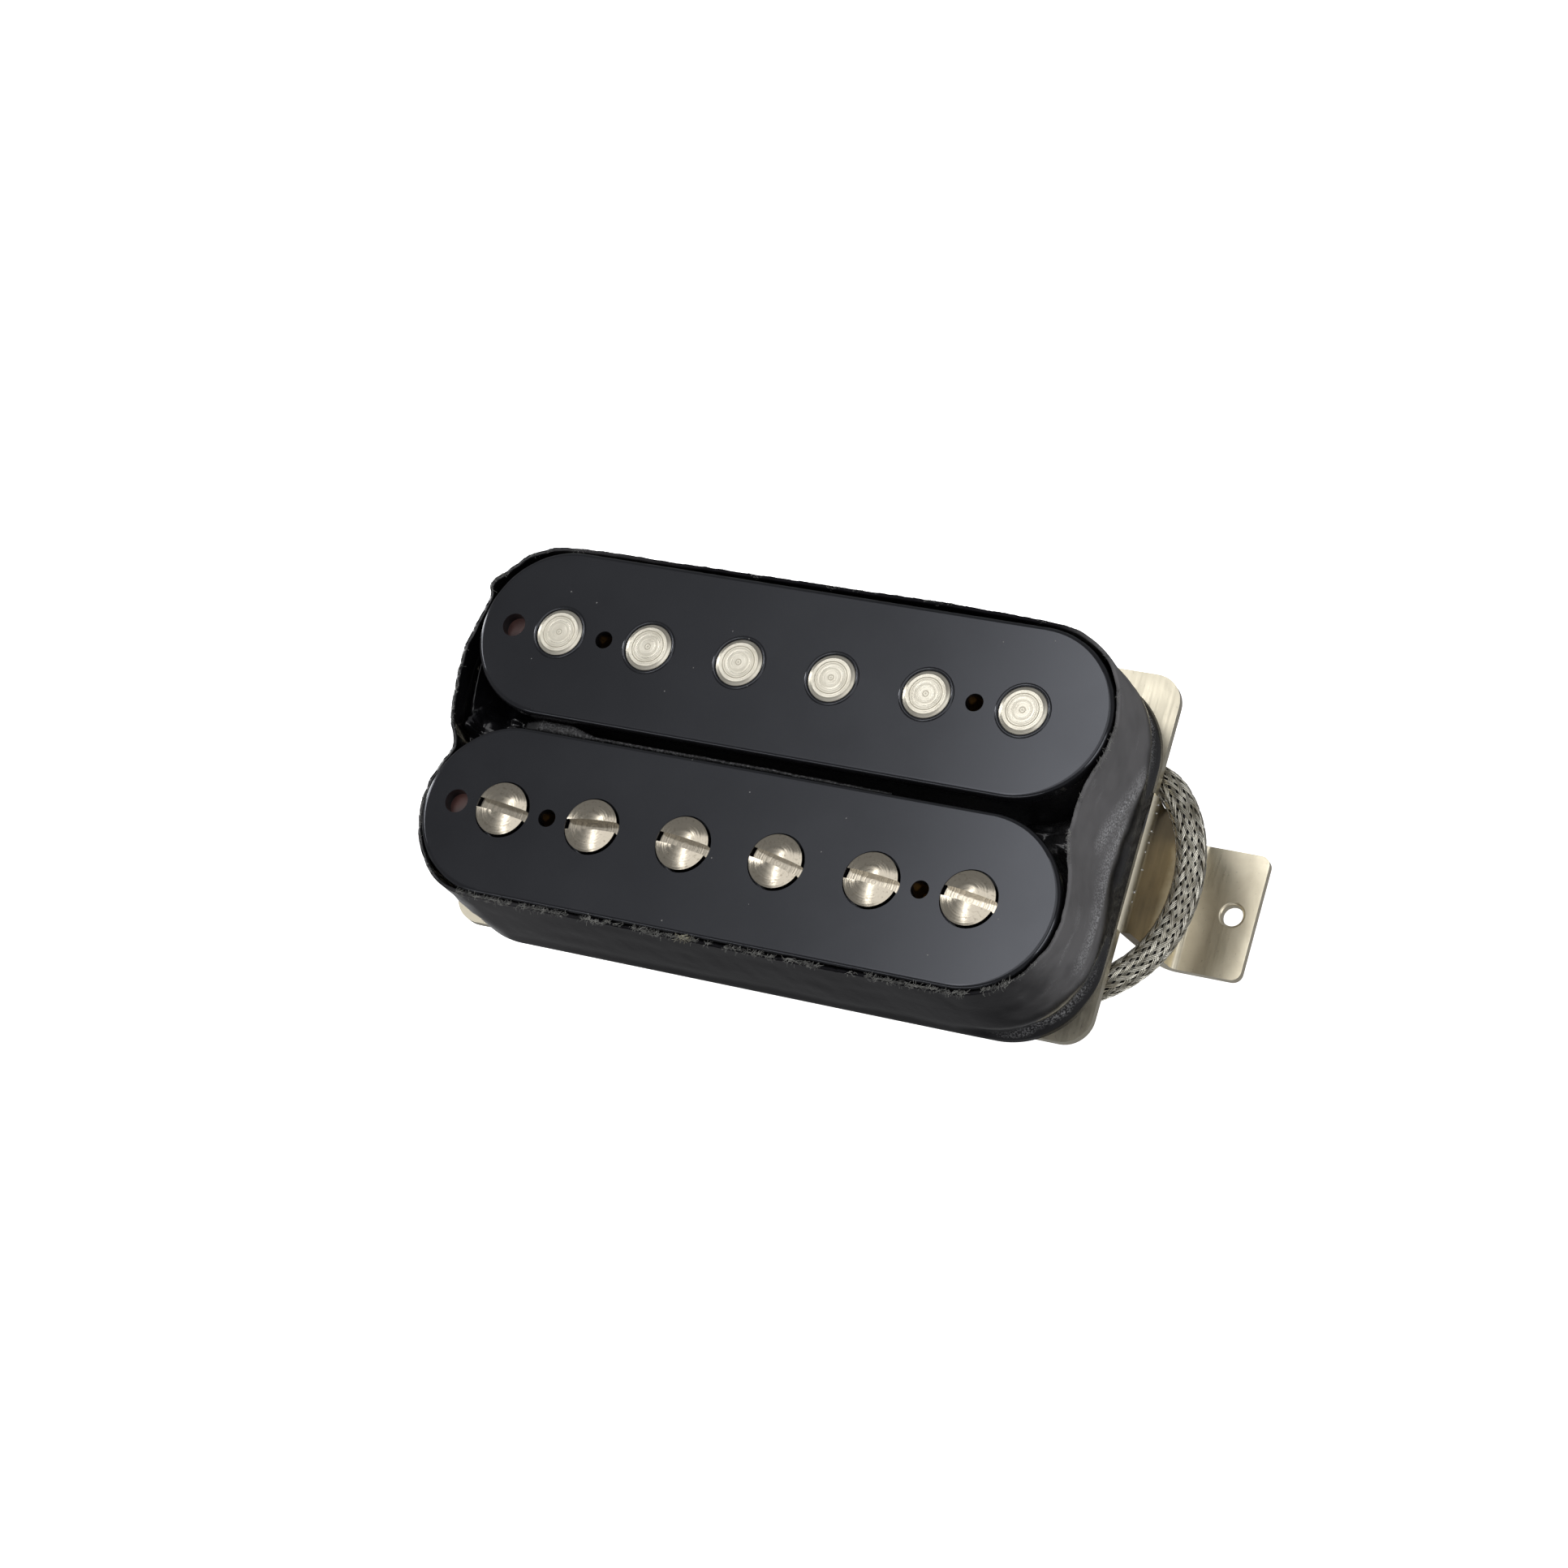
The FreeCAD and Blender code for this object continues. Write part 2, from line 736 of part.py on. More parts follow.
def make_bobbin_screws():
    """Four brass screws that hold the bobbins from below. Their tips show in the post holes."""
    blank = new_body("brass_blank")
    radius = size("brass_diameter") / 2
    head = size("brass_head") / 2
    under = -size("brass_head_height")
    point = size("brass_point")
    length = size("plate_thickness") + size("magnet_height") + size("bobbin_height")
    length = length - size("brass_depth")
    sketch = new_sketch(blank, "section", "XZ_Plane")
    outline = [
        (ZERO, under),
        (head, under),
        (head, ZERO),
        (radius, ZERO),
        (radius, length - point),
        (radius - point, length),
        (ZERO, length),
    ]
    draw_polygon(sketch, outline)
    revolve(blank, sketch)
    slot = new_sketch(blank, "slot", level=under)
    reach = head + size("cut_overrun")
    half = size("brass_slot") / 2
    draw_polygon(slot, [(-reach, -half), (reach, -half), (reach, half), (-reach, half)])
    pocket(blank, slot, size("brass_slot"), up=True)
    spots = []
    for x in (-post_place, post_place):
        for y in (screw_row, slug_row):
            spots.append((x, y, plate_under))
    return make_group("bobbin_screws", blank, spots)


def make_outer_tape():
    """Tape round both bobbins: a ring that stands on the plate and flares a little at its foot."""
    body = new_body("outer_tape")
    half = bobbin_end + size("fit_gap")
    y_high = slug_row + size("bobbin_width") / 2 + size("fit_gap")
    y_low = screw_row - size("bobbin_width") / 2 - size("fit_gap")
    corner = size("bobbin_width") / 2 + size("fit_gap")
    wall = size("tape_thickness")
    spread = wall + size("tape_flare")
    front_spread = wall + size("tape_front_flare")
    low = new_sketch(body, "foot", level=plate_top)
    draw_round_box(
        low,
        -half - spread,
        half + spread,
        y_low - front_spread,
        y_high + spread,
        size("tape_corner"),
    )
    high_level = bobbin_top - size("tape_drop")
    high = new_sketch(body, "brim", level=high_level)
    draw_round_box(
        high, -half - wall, half + wall, y_low - wall, y_high + wall, corner + wall
    )
    loft = body.newObject("PartDesign::AdditiveLoft", "outer_tape_wall")
    loft.Profile = low
    loft.Sections = [high]
    loft.Ruled = True
    DOC.recompute()
    hollow = new_sketch(body, "hollow", level=high_level)
    draw_round_box(hollow, -half, half, y_low, y_high, corner)
    pocket(body, hollow, high_level - plate_top)
    return body


def tube(path, start, direction, diameter):
    """A round tube along one wire, in the default mode of a pipe shell."""
    ring = Part.Circle(start, direction, diameter / 2)
    profile = Part.Wire([ring.toShape()])
    return Part.Wire(path).makePipeShell([profile], True, False)


def rounded_path(points, radii):
    """Straight runs joined by tangent arcs, one radius for each inner point."""
    edges = []
    last = points[0]
    for before, corner, after, radius in zip(points, points[1:], points[2:], radii):
        back = (before - corner).normalize()
        ahead = (after - corner).normalize()
        half_turn = (math.pi - back.getAngle(ahead)) / 2
        reach = radius * math.tan(half_turn)
        start = corner + back * reach
        end = corner + ahead * reach
        inward = (back + ahead).normalize()
        middle = corner + inward * (radius / math.cos(half_turn) - radius)
        edges.append(Part.LineSegment(last, start).toShape())
        edges.append(Part.Arc(start, middle, end).toShape())
        last = end
    edges.append(Part.LineSegment(last, points[-1]).toShape())
    return edges


def put_shape(label, shape):
    feature = DOC.addObject("Part::Feature", label)
    feature.Label = label
    feature.Shape = shape
    return feature


def make_wire(label, points):
    """A hookup wire of one bend radius through a few corners."""
    corners = [Vector(x.value, y.value, z.value) for x, y, z in points]
    radii = [read("wire_bend")] * (len(corners) - 2)
    direction = corners[1] - corners[0]
    path = rounded_path(corners, radii)
    return put_shape(label, tube(path, corners[0], direction, read("wire_diameter")))


def make_hookup_wires():
    """The hot wire from the lead to the screw coil, and the link between the two coils."""
    lying = plate_top + size("wire_diameter") / 2 + size("fit_gap")
    entry = wire_entry()
    far = entry - size("hot_wire_run")
    hot = make_wire(
        "hot_wire",
        [
            (entry, wire_lane, plate_under),
            (entry, wire_lane, lying),
            (far, wire_lane, lying),
            (far, wire_lane, bobbin_seat),
        ],
    )
    end = -(magnet_end + bobbin_end) / 2
    link = make_wire(
        "link_wire",
        [
            (end, slug_row, bobbin_seat),
            (end, slug_row, lying),
            (end, screw_row, lying),
            (end, screw_row, bobbin_seat),
        ],
    )
    return hot, link


def make_cable_solder():
    """The solder lump under the plate that holds the braid where the lead leaves the pickup."""
    body = new_body("cable_solder")
    x, y, _ = LEAD_ROUTE[0]
    sketch = new_sketch(body, "outline", level=plate_under)
    half = size("cable_diameter") / 2 + size("solder_side")
    outer = Size(y, repr(y)) - half
    inner = screw_row - size("shank_diameter") / 2 - size("solder_gap")
    end = Size(x, repr(x))
    start = end - size("solder_length")
    outline = [(start, outer), (end, outer), (end, inner), (start, inner)]
    draw_polygon(sketch, outline)
    pad(body, sketch, size("solder_height"), down=True)

    def lower_edge(edge):
        low = plate_under.value - size("solder_height").value
        return at_level(edge, low) and edge.BoundBox.XMin < end.value

    fillet(body, size("solder_round"), lower_edge)
    return body


def make_lead_cable():
    """The free stretch of the braided lead, from the solder joint to the hank."""
    points = [Vector(*point) for point in LEAD_ROUTE]
    radii = []
    for before, corner, after in zip(points, points[1:], points[2:]):
        run = min((corner - before).Length, (after - corner).Length)
        half_turn = (math.pi - (before - corner).getAngle(after - corner)) / 2
        radii.append(0.45 * run / math.tan(half_turn))
    print("lead arc radii, mm:", [round(radius, 1) for radius in radii])
    path = rounded_path(points, radii)
    shape = tube(path, points[0], points[1] - points[0], read("cable_diameter"))
    report_tube("lead_cable", shape, path)
    return put_shape("lead_cable", shape)


def report_tube(label, shape, path):
    length = sum(edge.Length for edge in path)
    section = math.pi * read("cable_diameter") ** 2 / 4
    print(label, "length, mm:", round(length, 1), "volume over section by length:",
          round(shape.Volume / (section * length), 4))


def hank_plan():
    """The hank seen from above as (radius, turn) pieces: a radius of 0 is a straight run.

    Two lobes are drawn in to a waist. The lead comes in at the top of the right lobe, heading
    along -X, and a positive turn is to the left.
    """
    radius = read("lobe_radius")
    column = (read("cable_diameter") + read("strand_gap")) / 2
    lean = math.acos((column + radius) / (2 * radius))
    waist = ("straight", read("waist_length"))
    inwards = [("turn", lean), ("turn", -lean)]
    lobe = [("turn", -lean), ("turn", math.pi + 2 * lean), ("turn", -lean)]
    plan = [("straight", read("cable_diameter"))]
    plan += inwards + [waist] + lobe + [waist]
    drop_from = len(plan)
    plan += [("turn", -lean), ("turn", lean)]
    drop_to = len(plan)
    plan += [("turn", math.pi), ("turn", lean), ("turn", -lean)]
    plan += [waist] + lobe
    plan += [("straight", read("waist_length") + read("end_stub"))]
    return plan, drop_from, drop_to, radius


def hank_stations():
    """Points and directions along the hank, a quarter turn or less apart."""
    plan, drop_from, drop_to, radius = hank_plan()
    x, y, level = LEAD_ROUTE[-1]
    pitch = read("cable_diameter") + read("strand_gap")
    heading = math.pi
    run = sum(abs(turn) * radius for _, turn in plan[drop_from:drop_to])
    travelled = 0
    stations = [(Vector(x, y, level), Vector(-1, 0, 0))]
    for number, (kind, value) in enumerate(plan):
        steps = 1 if kind == "straight" else math.ceil(abs(value) / QUARTER_TURN)
        dropping = drop_from <= number < drop_to
        for _ in range(steps):
            if kind == "straight":
                x += value * math.cos(heading)
                y += value * math.sin(heading)
            else:
                turn = value / steps
                side = math.copysign(radius, turn)
                x += side * (math.sin(heading + turn) - math.sin(heading))
                y -= side * (math.cos(heading + turn) - math.cos(heading))
                heading += turn
                travelled += abs(turn) * radius if dropping else 0
            share = travelled / run
            fall = share * share * (3 - 2 * share)
            slope = -6 * share * (1 - share) * pitch / run if dropping else 0
            direction = Vector(math.cos(heading), math.sin(heading), slope).normalize()
            stations.append((Vector(x, y, level - pitch * fall), direction))
    return stations


def biarc(start, start_direction, end, end_direction):
    """Two arcs that join two points and keep both directions, or one line."""
    chord = end - start
    both = start_direction + end_direction
    if start_direction.cross(chord).Length < read("fit_gap") / 100 * chord.Length:
        return [Part.LineSegment(start, end).toShape()]
    bend = 2 * (1 - start_direction.dot(end_direction))
    reach = chord.dot(both)
    if bend < 1e-9:
        arm = chord.dot(chord) / (2 * reach)
    else:
        arm = (math.sqrt(reach**2 + bend * chord.dot(chord)) - reach) / bend
    joint = (start + end + (start_direction - end_direction) * arm) / 2
    edges = []
    for origin, direction, target in (
        (start, start_direction, joint),
        (end, -end_direction, joint),
    ):
        span = target - origin
        side = span - direction * span.dot(direction)
        radius = span.dot(span) / (2 * side.Length)
        centre = origin + side.normalize() * radius
        middle = centre + (origin + target - centre * 2).normalize() * radius
        ends = (origin, middle, target)
        edges.append(Part.Arc(*(ends if origin is start else ends[::-1])).toShape())
    return edges


def least_gap(edges):
    """The least distance between stretches of the hank that aren't neighbours, less a diameter."""
    diameter = read("cable_diameter")
    points = []
    travelled = 0
    for edge in edges:
        count = max(2, round(edge.Length / (diameter / 4)))
        for point in edge.discretize(Number=count)[:-1]:
            points.append((travelled, point))
            travelled += edge.Length / (count - 1)
    least = math.inf
    for number, (place_a, a) in enumerate(points):
        for place_b, b in points[number + 1:]:
            if place_b - place_a > diameter * math.pi:
                least = min(least, (a - b).Length)
    return least - diameter


def make_lead_hank():
    """The put-away length: two lobes drawn in at the waist, two layers, one unbroken tube."""
    stations = hank_stations()
    edges = []
    for (start, start_direction), (end, end_direction) in zip(stations, stations[1:]):
        edges += biarc(start, start_direction, end, end_direction)
    start, direction = stations[0]
    shape = tube(edges, start, direction, read("cable_diameter"))
    report_tube("lead_hank", shape, edges)
    print("hank least gap to itself, mm:", round(least_gap(edges), 2))
    return put_shape("lead_hank", shape)


def make_hank_tie():
    """A flat band round the four strands at the waist."""
    body = new_body("hank_tie")
    x, y, level = LEAD_ROUTE[-1]
    radius = read("lobe_radius")
    pitch = size("cable_diameter") + size("strand_gap")
    half = pitch / 2 + size("cable_diameter") / 2 + size("fit_gap")
    wall = size("tie_thickness")
    corner = size("cable_diameter") / 2 + size("fit_gap")
    ring = new_sketch(body, "ring", "YZ_Plane")
    draw_round_box(ring, -half - wall, half + wall, -half - wall, half + wall, corner + wall)
    draw_round_box(ring, -half, half, -half, half, corner)
    pad(body, ring, size("tie_length"), midplane=True)
    stations = hank_stations()
    waist = [point for point, _ in stations if near(point.y, y - radius + pitch.value / 2)]
    middle = (waist[0].x + waist[1].x) / 2
    body.Placement = Placement(Vector(middle, y - radius, level - pitch.value / 2), Rotation())
    return body


def make_stripped_end():
    """The insulated inner conductor past the end of the braid, and its tinned tip."""
    end, direction = hank_stations()[-1]
    turn = Rotation(Vector(0, 0, 1), direction)
    made = []
    start = end
    for label in ("core", "tip"):
        rod = DOC.addObject("Part::Cylinder", f"lead_{label}")
        rod.Label = f"lead_{label}"
        bind(rod, "Radius", size(f"{label}_diameter") / 2)
        bind(rod, "Height", size(f"{label}_reach"))
        rod.Placement = Placement(start, turn)
        start = start + direction * read(f"{label}_reach")
        made.append(rod)
    return made


def build():
    """Every sub-part of the pickup, each an object whose Label names its file."""
    parts = [
        make_baseplate(),
        make_bobbin("slug_bobbin", slug_row, False),
        make_bobbin("screw_bobbin", screw_row, True),
        make_coil("slug_coil", slug_row),
        make_coil("screw_coil", screw_row),
        make_coil_tape("slug_coil_tape", slug_row),
        make_coil_tape("screw_coil_tape", screw_row),
        make_slug_poles(),
        make_keeper_bar(),
        *make_magnet_and_spacer(),
        make_bobbin_screws(),
        make_outer_tape(),
        *make_hookup_wires(),
        make_cable_solder(),
        make_lead_cable(),
        make_lead_hank(),
        make_hank_tie(),
        *make_stripped_end(),
    ]
    for number, x in enumerate(pole_places()):
        parts.append(make_pole_screw(number, x))
    return parts


def export(parts):
    """Checks every object, then writes one STEP file for each sub-part."""
    DOC.recompute()
    failed = []
    for item in DOC.Objects:
        if "Invalid" in item.State or "Error" in item.State:
            failed.append(item.Name)
    for part in parts:
        if part.Shape.isNull() or not part.Shape.isValid() or not part.Shape.Solids:
            failed.append(part.Label)
    if failed:
        raise ValueError(f"these objects failed: {failed}")
    os.makedirs("parts", exist_ok=True)
    for part in parts:
        part.Shape.exportStep(f"parts/{part.Label}.step")
        box = part.Shape.BoundBox
        print(f"{part.Label}: {len(part.Shape.Solids)} solids, {part.Shape.Volume:.1f} mm3,",
              f"x {box.XMin:.2f} {box.XMax:.2f} y {box.YMin:.2f} {box.YMax:.2f}",
              f"z {box.ZMin:.2f} {box.ZMax:.2f}")


export(build())
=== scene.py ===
# %% [markdown]
# # A guitar pickup with a braided lead
# The solids of the pickup come from its CAD model: baseplate, bobbins, poles and screws. This
# script gives each of them the finish of the real one, and adds what a solid can't show: the
# wrinkled tape with its frayed edge, the woven braid of the lead, the light and the camera.
# Lengths of the pickup are in millimetres, and MM turns them into Blender's metres. The lights
# and the floor are in metres, and the cloth's areas in square metres.

import bpy
import bmesh
import math
from mathutils import Euler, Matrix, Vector, noise


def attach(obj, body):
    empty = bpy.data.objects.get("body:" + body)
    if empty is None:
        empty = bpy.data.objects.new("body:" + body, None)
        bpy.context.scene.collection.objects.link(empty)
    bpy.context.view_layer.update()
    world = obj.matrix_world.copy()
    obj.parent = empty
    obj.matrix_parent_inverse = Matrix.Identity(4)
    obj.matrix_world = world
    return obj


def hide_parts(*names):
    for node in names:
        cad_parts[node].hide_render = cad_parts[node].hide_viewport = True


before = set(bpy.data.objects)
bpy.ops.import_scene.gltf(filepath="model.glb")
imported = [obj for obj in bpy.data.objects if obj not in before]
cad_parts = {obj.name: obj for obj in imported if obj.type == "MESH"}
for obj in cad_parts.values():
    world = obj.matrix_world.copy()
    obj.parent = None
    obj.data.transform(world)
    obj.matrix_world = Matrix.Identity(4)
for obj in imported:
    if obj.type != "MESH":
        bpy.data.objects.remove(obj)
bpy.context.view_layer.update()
MM = 0.001
print("solids:", len(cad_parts))

# %% [markdown]
# ## The camera
# The photograph looks down on the pickup from its lead's end, with the camera rolled, from about
# 390 mm away. Its place and turn were worked out from the poles, the plate's corners and the foot.

# %% Camera
camera = bpy.data.objects.new("camera", bpy.data.cameras.new("camera"))
bpy.context.scene.collection.objects.link(camera)
camera.location = Vector((147.56, -94.24, 345.51)) * MM
camera.rotation_euler = Euler([math.radians(turn) for turn in (21.1761, 19.2069, 17.3240)])
camera.data.lens = 87.282
camera.data.sensor_width = 36
camera.data.clip_start = 0.01
bpy.context.scene.camera = camera
print("camera distance, mm:", round(camera.location.length / MM))

# %% [markdown]
# ## Floor and light
# A product like this is shot on a white sweep inside a light tent. A polished black face shows
# what it mirrors more than its own colour, so the boxes of light are placed by their reflections:
# a large one above, uneven from left to right, gives the bobbins' tops their run from charcoal to
# grey. A smaller one in front lights the lower halves of the screw heads, one at the right the
# dull right wall, and a long narrow one at the left draws the bright line on the bobbins' rims.
#
# The paper was burnt out to pure white afterwards, with no shadow on it. Here it glows by itself,
# and only the camera sees it, so that it doesn't shine back on the black tape. The plain view
# transform keeps white paper white.

# %% Floor and soft boxes
def linear(hex_colour):
    """An sRGB hex value as a linear colour with full alpha."""
    parts = [int(hex_colour[i:i + 2], 16) / 255 for i in (1, 3, 5)]
    return [c / 12.92 if c <= 0.04045 else ((c + 0.055) / 1.055) ** 2.4 for c in parts] + [1.0]


def fill(node, values):
    """Sets or joins a node's inputs: a list in order, a dictionary by its keys."""
    pairs = values.items() if isinstance(values, dict) else enumerate(values)
    for socket, value in pairs:
        if isinstance(value, bpy.types.NodeSocket):
            node.id_data.links.new(value, node.inputs[socket])
        else:
            node.inputs[socket].default_value = value


def add(tree, kind, values=(), out=0, **settings):
    """Adds a node, sets it, fills its inputs, and returns one of its outputs."""
    node = tree.nodes.new(kind)
    for name, value in settings.items():
        setattr(node, name, value)
    fill(node, values)
    return node.outputs[out] if node.outputs else node


def new_material(name):
    """A material with a bare Principled shader, its tree and the shader node."""
    material = bpy.data.materials.new(name)
    material.use_nodes = True
    print("finish:", name)
    return material, material.node_tree, material.node_tree.nodes["Principled BSDF"]


def new_mesh_object(name, vertices, faces, edges=()):
    """An object at the origin whose mesh holds its place."""
    mesh = bpy.data.meshes.new(name)
    mesh.from_pydata(vertices, edges, faces)
    piece = bpy.data.objects.new(name, mesh)
    bpy.context.scene.collection.objects.link(piece)
    return piece


def softbox(name, place, size, watts, aim=(0, 0, 0.02)):
    """A rectangle of light at a place, turned to its aim."""
    lamp = bpy.data.lights.new(name, "AREA")
    lamp.shape = "RECTANGLE"
    lamp.size, lamp.size_y = size
    lamp.energy = watts
    box = bpy.data.objects.new(name, lamp)
    bpy.context.scene.collection.objects.link(box)
    box.location = place
    box.rotation_euler = (Vector(aim) - Vector(place)).to_track_quat("-Z", "Y").to_euler()
    return box


bpy.context.scene.view_settings.view_transform = "Standard"
world = bpy.data.worlds.new("tent")
bpy.context.scene.world = world
world.use_nodes = True
fill(world.node_tree.nodes["Background"], {"Color": linear("#F4F5F7"), "Strength": 0.32})

TOP_X, TOP_Y, TOP_Z = -0.05, 0.09, 0.90
top_box = softbox("top_box", (TOP_X, TOP_Y, TOP_Z), (1.30, 0.76), 12.0, aim=(TOP_X, TOP_Y, 0.0))
top_box.data.use_nodes = True
lamp_tree = top_box.data.node_tree
across = add(lamp_tree, "ShaderNodeNewGeometry", out="Parametric")
across = add(lamp_tree, "ShaderNodeSeparateXYZ", [across])
fade = add(lamp_tree, "ShaderNodeValToRGB", [across])
# Places across the box, and its light there as a share of its brightest strip.
fade_stops = [
    (0.0, 0.0), (0.14, 0.02), (0.22, 0.12), (0.27, 0.20), (0.30, 0.50), (0.32, 1.0), (0.36, 1.0),
    (0.40, 0.30), (1.0, 0.30),
]
ramp = fade.node.color_ramp
for number, (at, share) in enumerate(fade_stops):
    stop = ramp.elements[number] if number < 2 else ramp.elements.new(at)
    stop.position = at
    stop.color = (share, share, share, 1.0)
lamp_tree.links.new(fade, lamp_tree.nodes["Emission"].inputs["Strength"])
softbox("front_box", (-0.15, -0.80, 0.42), (0.95, 0.16), 1.0)
softbox("right_box", (0.85, -0.10, 0.35), (0.50, 0.50), 2.3)
softbox("left_strip", (-0.85, 0.22, 0.28), (0.11, 1.25), 3.0)

paper, _, paper_shader = new_material("white_paper_sweep")
fill(
    paper_shader,
    {
        "Base Color": linear("#FAFAFA"), "Roughness": 0.9,
        "Emission Color": linear("#FFFFFF"), "Emission Strength": 1.0,
    },
)
FLOOR_REACH, FLOOR_LEVEL = 1.5, -0.05 * MM
corners = [(-1, -1), (1, -1), (1, 1), (-1, 1)]
corners = [(x * FLOOR_REACH, y * FLOOR_REACH, FLOOR_LEVEL) for x, y in corners]
floor = new_mesh_object("floor", corners, [(0, 1, 2, 3)])
floor.data.materials.append(paper)
floor.visible_glossy = False
floor.visible_diffuse = False
print("floor:", FLOOR_REACH * 2, "m wide")

# %% [markdown]
# ## The line of the lead
# The lead leaves the solder joint under the plate, bends out round the leg, turns back under the
# plate, and its spare length lies there as a hank tied at the waist. It is one smooth spline: the
# route's points, and then the hank's turns, which a loop walks in steps of a twelfth of a turn.
# The route is the CAD tube's, but its points by the leg were moved, by up to 1.7 mm, so
# that the bend lies as it does in the photograph.

# %% Lead line
CABLE = 3.0 * MM
LEAD_ROUTE = [
    (15.5, -14.9, 11.2),
    (20.6, -14.9, 11.2),
    (26.0, -14.5, 10.9),
    (31.0, -13.0, 10.4),
    (35.0, -10.2, 10.0),
    (37.6, -6.4, 9.8),
    (38.6, -1.8, 9.8),
    (38.4, 2.4, 10.1),
    (37.1, 6.1, 10.9),
    (34.3, 9.2, 11.3),
    (30.0, 9.6, 10.3),
    (25.2, 9.3, 7.6),
    (20.4, 9.2, 5.65),
    (16.2, 9.2, 5.65),
]
LOBE, STRAND_GAP, WAIST, END_STUB = 9.0, 0.6, 6.0, 1.5
pitch = CABLE / MM + STRAND_GAP
lean = math.acos((pitch / 2 + LOBE) / (2 * LOBE))


def hank_points(start):
    """Control points of the hank: straight runs, and turns in steps of 30 degrees or less."""
    lobe = [-lean, math.pi + 2 * lean, -lean]
    turns = [lean, -lean, None, *lobe, None]
    first_drop = len(turns)
    turns += [-lean, lean]
    turns += [math.pi, lean, -lean, None, *lobe]
    x, y, level = start
    heading, dropped = math.pi, 0.0
    points = []
    x -= CABLE / MM

    def advance(distance):
        nonlocal x, y
        x += distance * math.cos(heading)
        y += distance * math.sin(heading)

    for number, turn in enumerate(turns):
        if turn is None:
            advance(WAIST / 2)
            points.append((x, y, level - pitch * dropped))
            advance(WAIST / 2)
            continue
        steps = math.ceil(abs(turn) / (math.pi / 6) - 0.01)
        step = turn / steps
        half_edge = LOBE * math.tan(abs(step) / 2)
        for part in range(steps):
            advance(half_edge)
            if first_drop <= number < first_drop + 2:
                share = (number - first_drop + (part + 0.5) / steps) / 2
                dropped = share * share * (3 - 2 * share)
            elif number == first_drop + 2:
                dropped = 1.0
            points.append((x, y, level - pitch * dropped))
            heading += step
            advance(half_edge)
    rest = WAIST + END_STUB
    for share in (0.45, 1.0):
        points.append((x + rest * share * math.cos(heading), y, level - pitch * dropped))
    return points


lead_points = LEAD_ROUTE + hank_points(LEAD_ROUTE[-1])
lead_curve = bpy.data.curves.new("lead_core", "CURVE")
lead_curve.dimensions = "3D"
lead_curve.resolution_u = 12
lead_spline = lead_curve.splines.new("NURBS")
lead_spline.points.add(len(lead_points) - 1)
for point, place in zip(lead_spline.points, lead_points):
    point.co = (*(Vector(place) * MM), 1)
lead_spline.order_u = 3
lead_spline.use_endpoint_u = True
lead = bpy.data.objects.new("lead_inner", lead_curve)
bpy.context.scene.collection.objects.link(lead)
bpy.context.view_layer.update()


def line_of(curve_object):
    """The points of a bare curve's own line, read from its spline."""
    mesh = bpy.data.meshes.new_from_object(
        curve_object.evaluated_get(bpy.context.evaluated_depsgraph_get())
    )
    line = [vertex.co.copy() for vertex in mesh.vertices]
    bpy.data.meshes.remove(mesh)
    return line


lead_line = line_of(lead)
lead_length = sum((b - a).length for a, b in zip(lead_line, lead_line[1:]))
print("lead points:", len(lead_points), "length, mm:", round(lead_length / MM, 1))
print("lead end:", [round(c / MM, 2) for c in lead_line[-1]])

# %% [markdown]
# ## The woven braid
# The lead's shield is a tube braided on a machine with 24 carriers: twelve bands of fine tinned
# wire wind one way, twelve the other, and each band goes over two and under two. Where a band
# dives under the next, the black of the core shows. Modelling each wire by hand would be
# endless, so a node tree copies the lead's line once for each wire and pushes every copy's points
# out and round, with a wave that lifts and sinks them.

# %% Node tree tools
MATH, VECTOR_MATH = "ShaderNodeMath", "ShaderNodeVectorMath"
LINE, CIRCLE = "GeometryNodeMeshToCurve", "GeometryNodeCurvePrimitiveCircle"
TUBE, SMOOTH = "GeometryNodeCurveToMesh", "GeometryNodeSetShadeSmooth"


def new_tree(name, sizes):
    """A geometry tree with geometry in and out, and a named input for each size."""
    tree = bpy.data.node_groups.new(name, "GeometryNodeTree")
    for way in ("INPUT", "OUTPUT"):
        tree.interface.new_socket("Geometry", in_out=way, socket_type="NodeSocketGeometry")
    for label, kind in {**sizes, "Material": "Material"}.items():
        tree.interface.new_socket(label, in_out="INPUT", socket_type=f"NodeSocket{kind}")
    return tree, add(tree, "NodeGroupInput").node.outputs


def finish_tree(tree, geometry, given):
    """Ends a tree: instances made real, and the material that the tree was given."""
    real = add(tree, "GeometryNodeRealizeInstances", [geometry])
    sockets = {"Geometry": real, "Material": given["Material"]}
    dressed = add(tree, "GeometryNodeSetMaterial", sockets)
    add(tree, "NodeGroupOutput", [dressed])


def bake(name, points, tree, values):
    """Runs a tree on a line through the points, and keeps the result as a plain mesh."""
    edges = [(i, i + 1) for i in range(len(points) - 1)]
    host = new_mesh_object(name + "_host", points, [], edges)
    modifier = host.modifiers.new("nodes", "NODES")
    modifier.node_group = tree
    for item in tree.interface.items_tree:
        if item.in_out == "INPUT" and item.name in values:
            modifier[item.identifier] = values[item.name]
    bpy.context.view_layer.update()
    shape = host.evaluated_get(bpy.context.evaluated_depsgraph_get())
    mesh = bpy.data.meshes.new_from_object(shape)
    mesh.name = name
    bpy.data.objects.remove(host)
    piece = bpy.data.objects.new(name, mesh)
    bpy.context.scene.collection.objects.link(piece)
    print(name, "triangles:", sum(len(face.vertices) - 2 for face in mesh.polygons))
    return piece


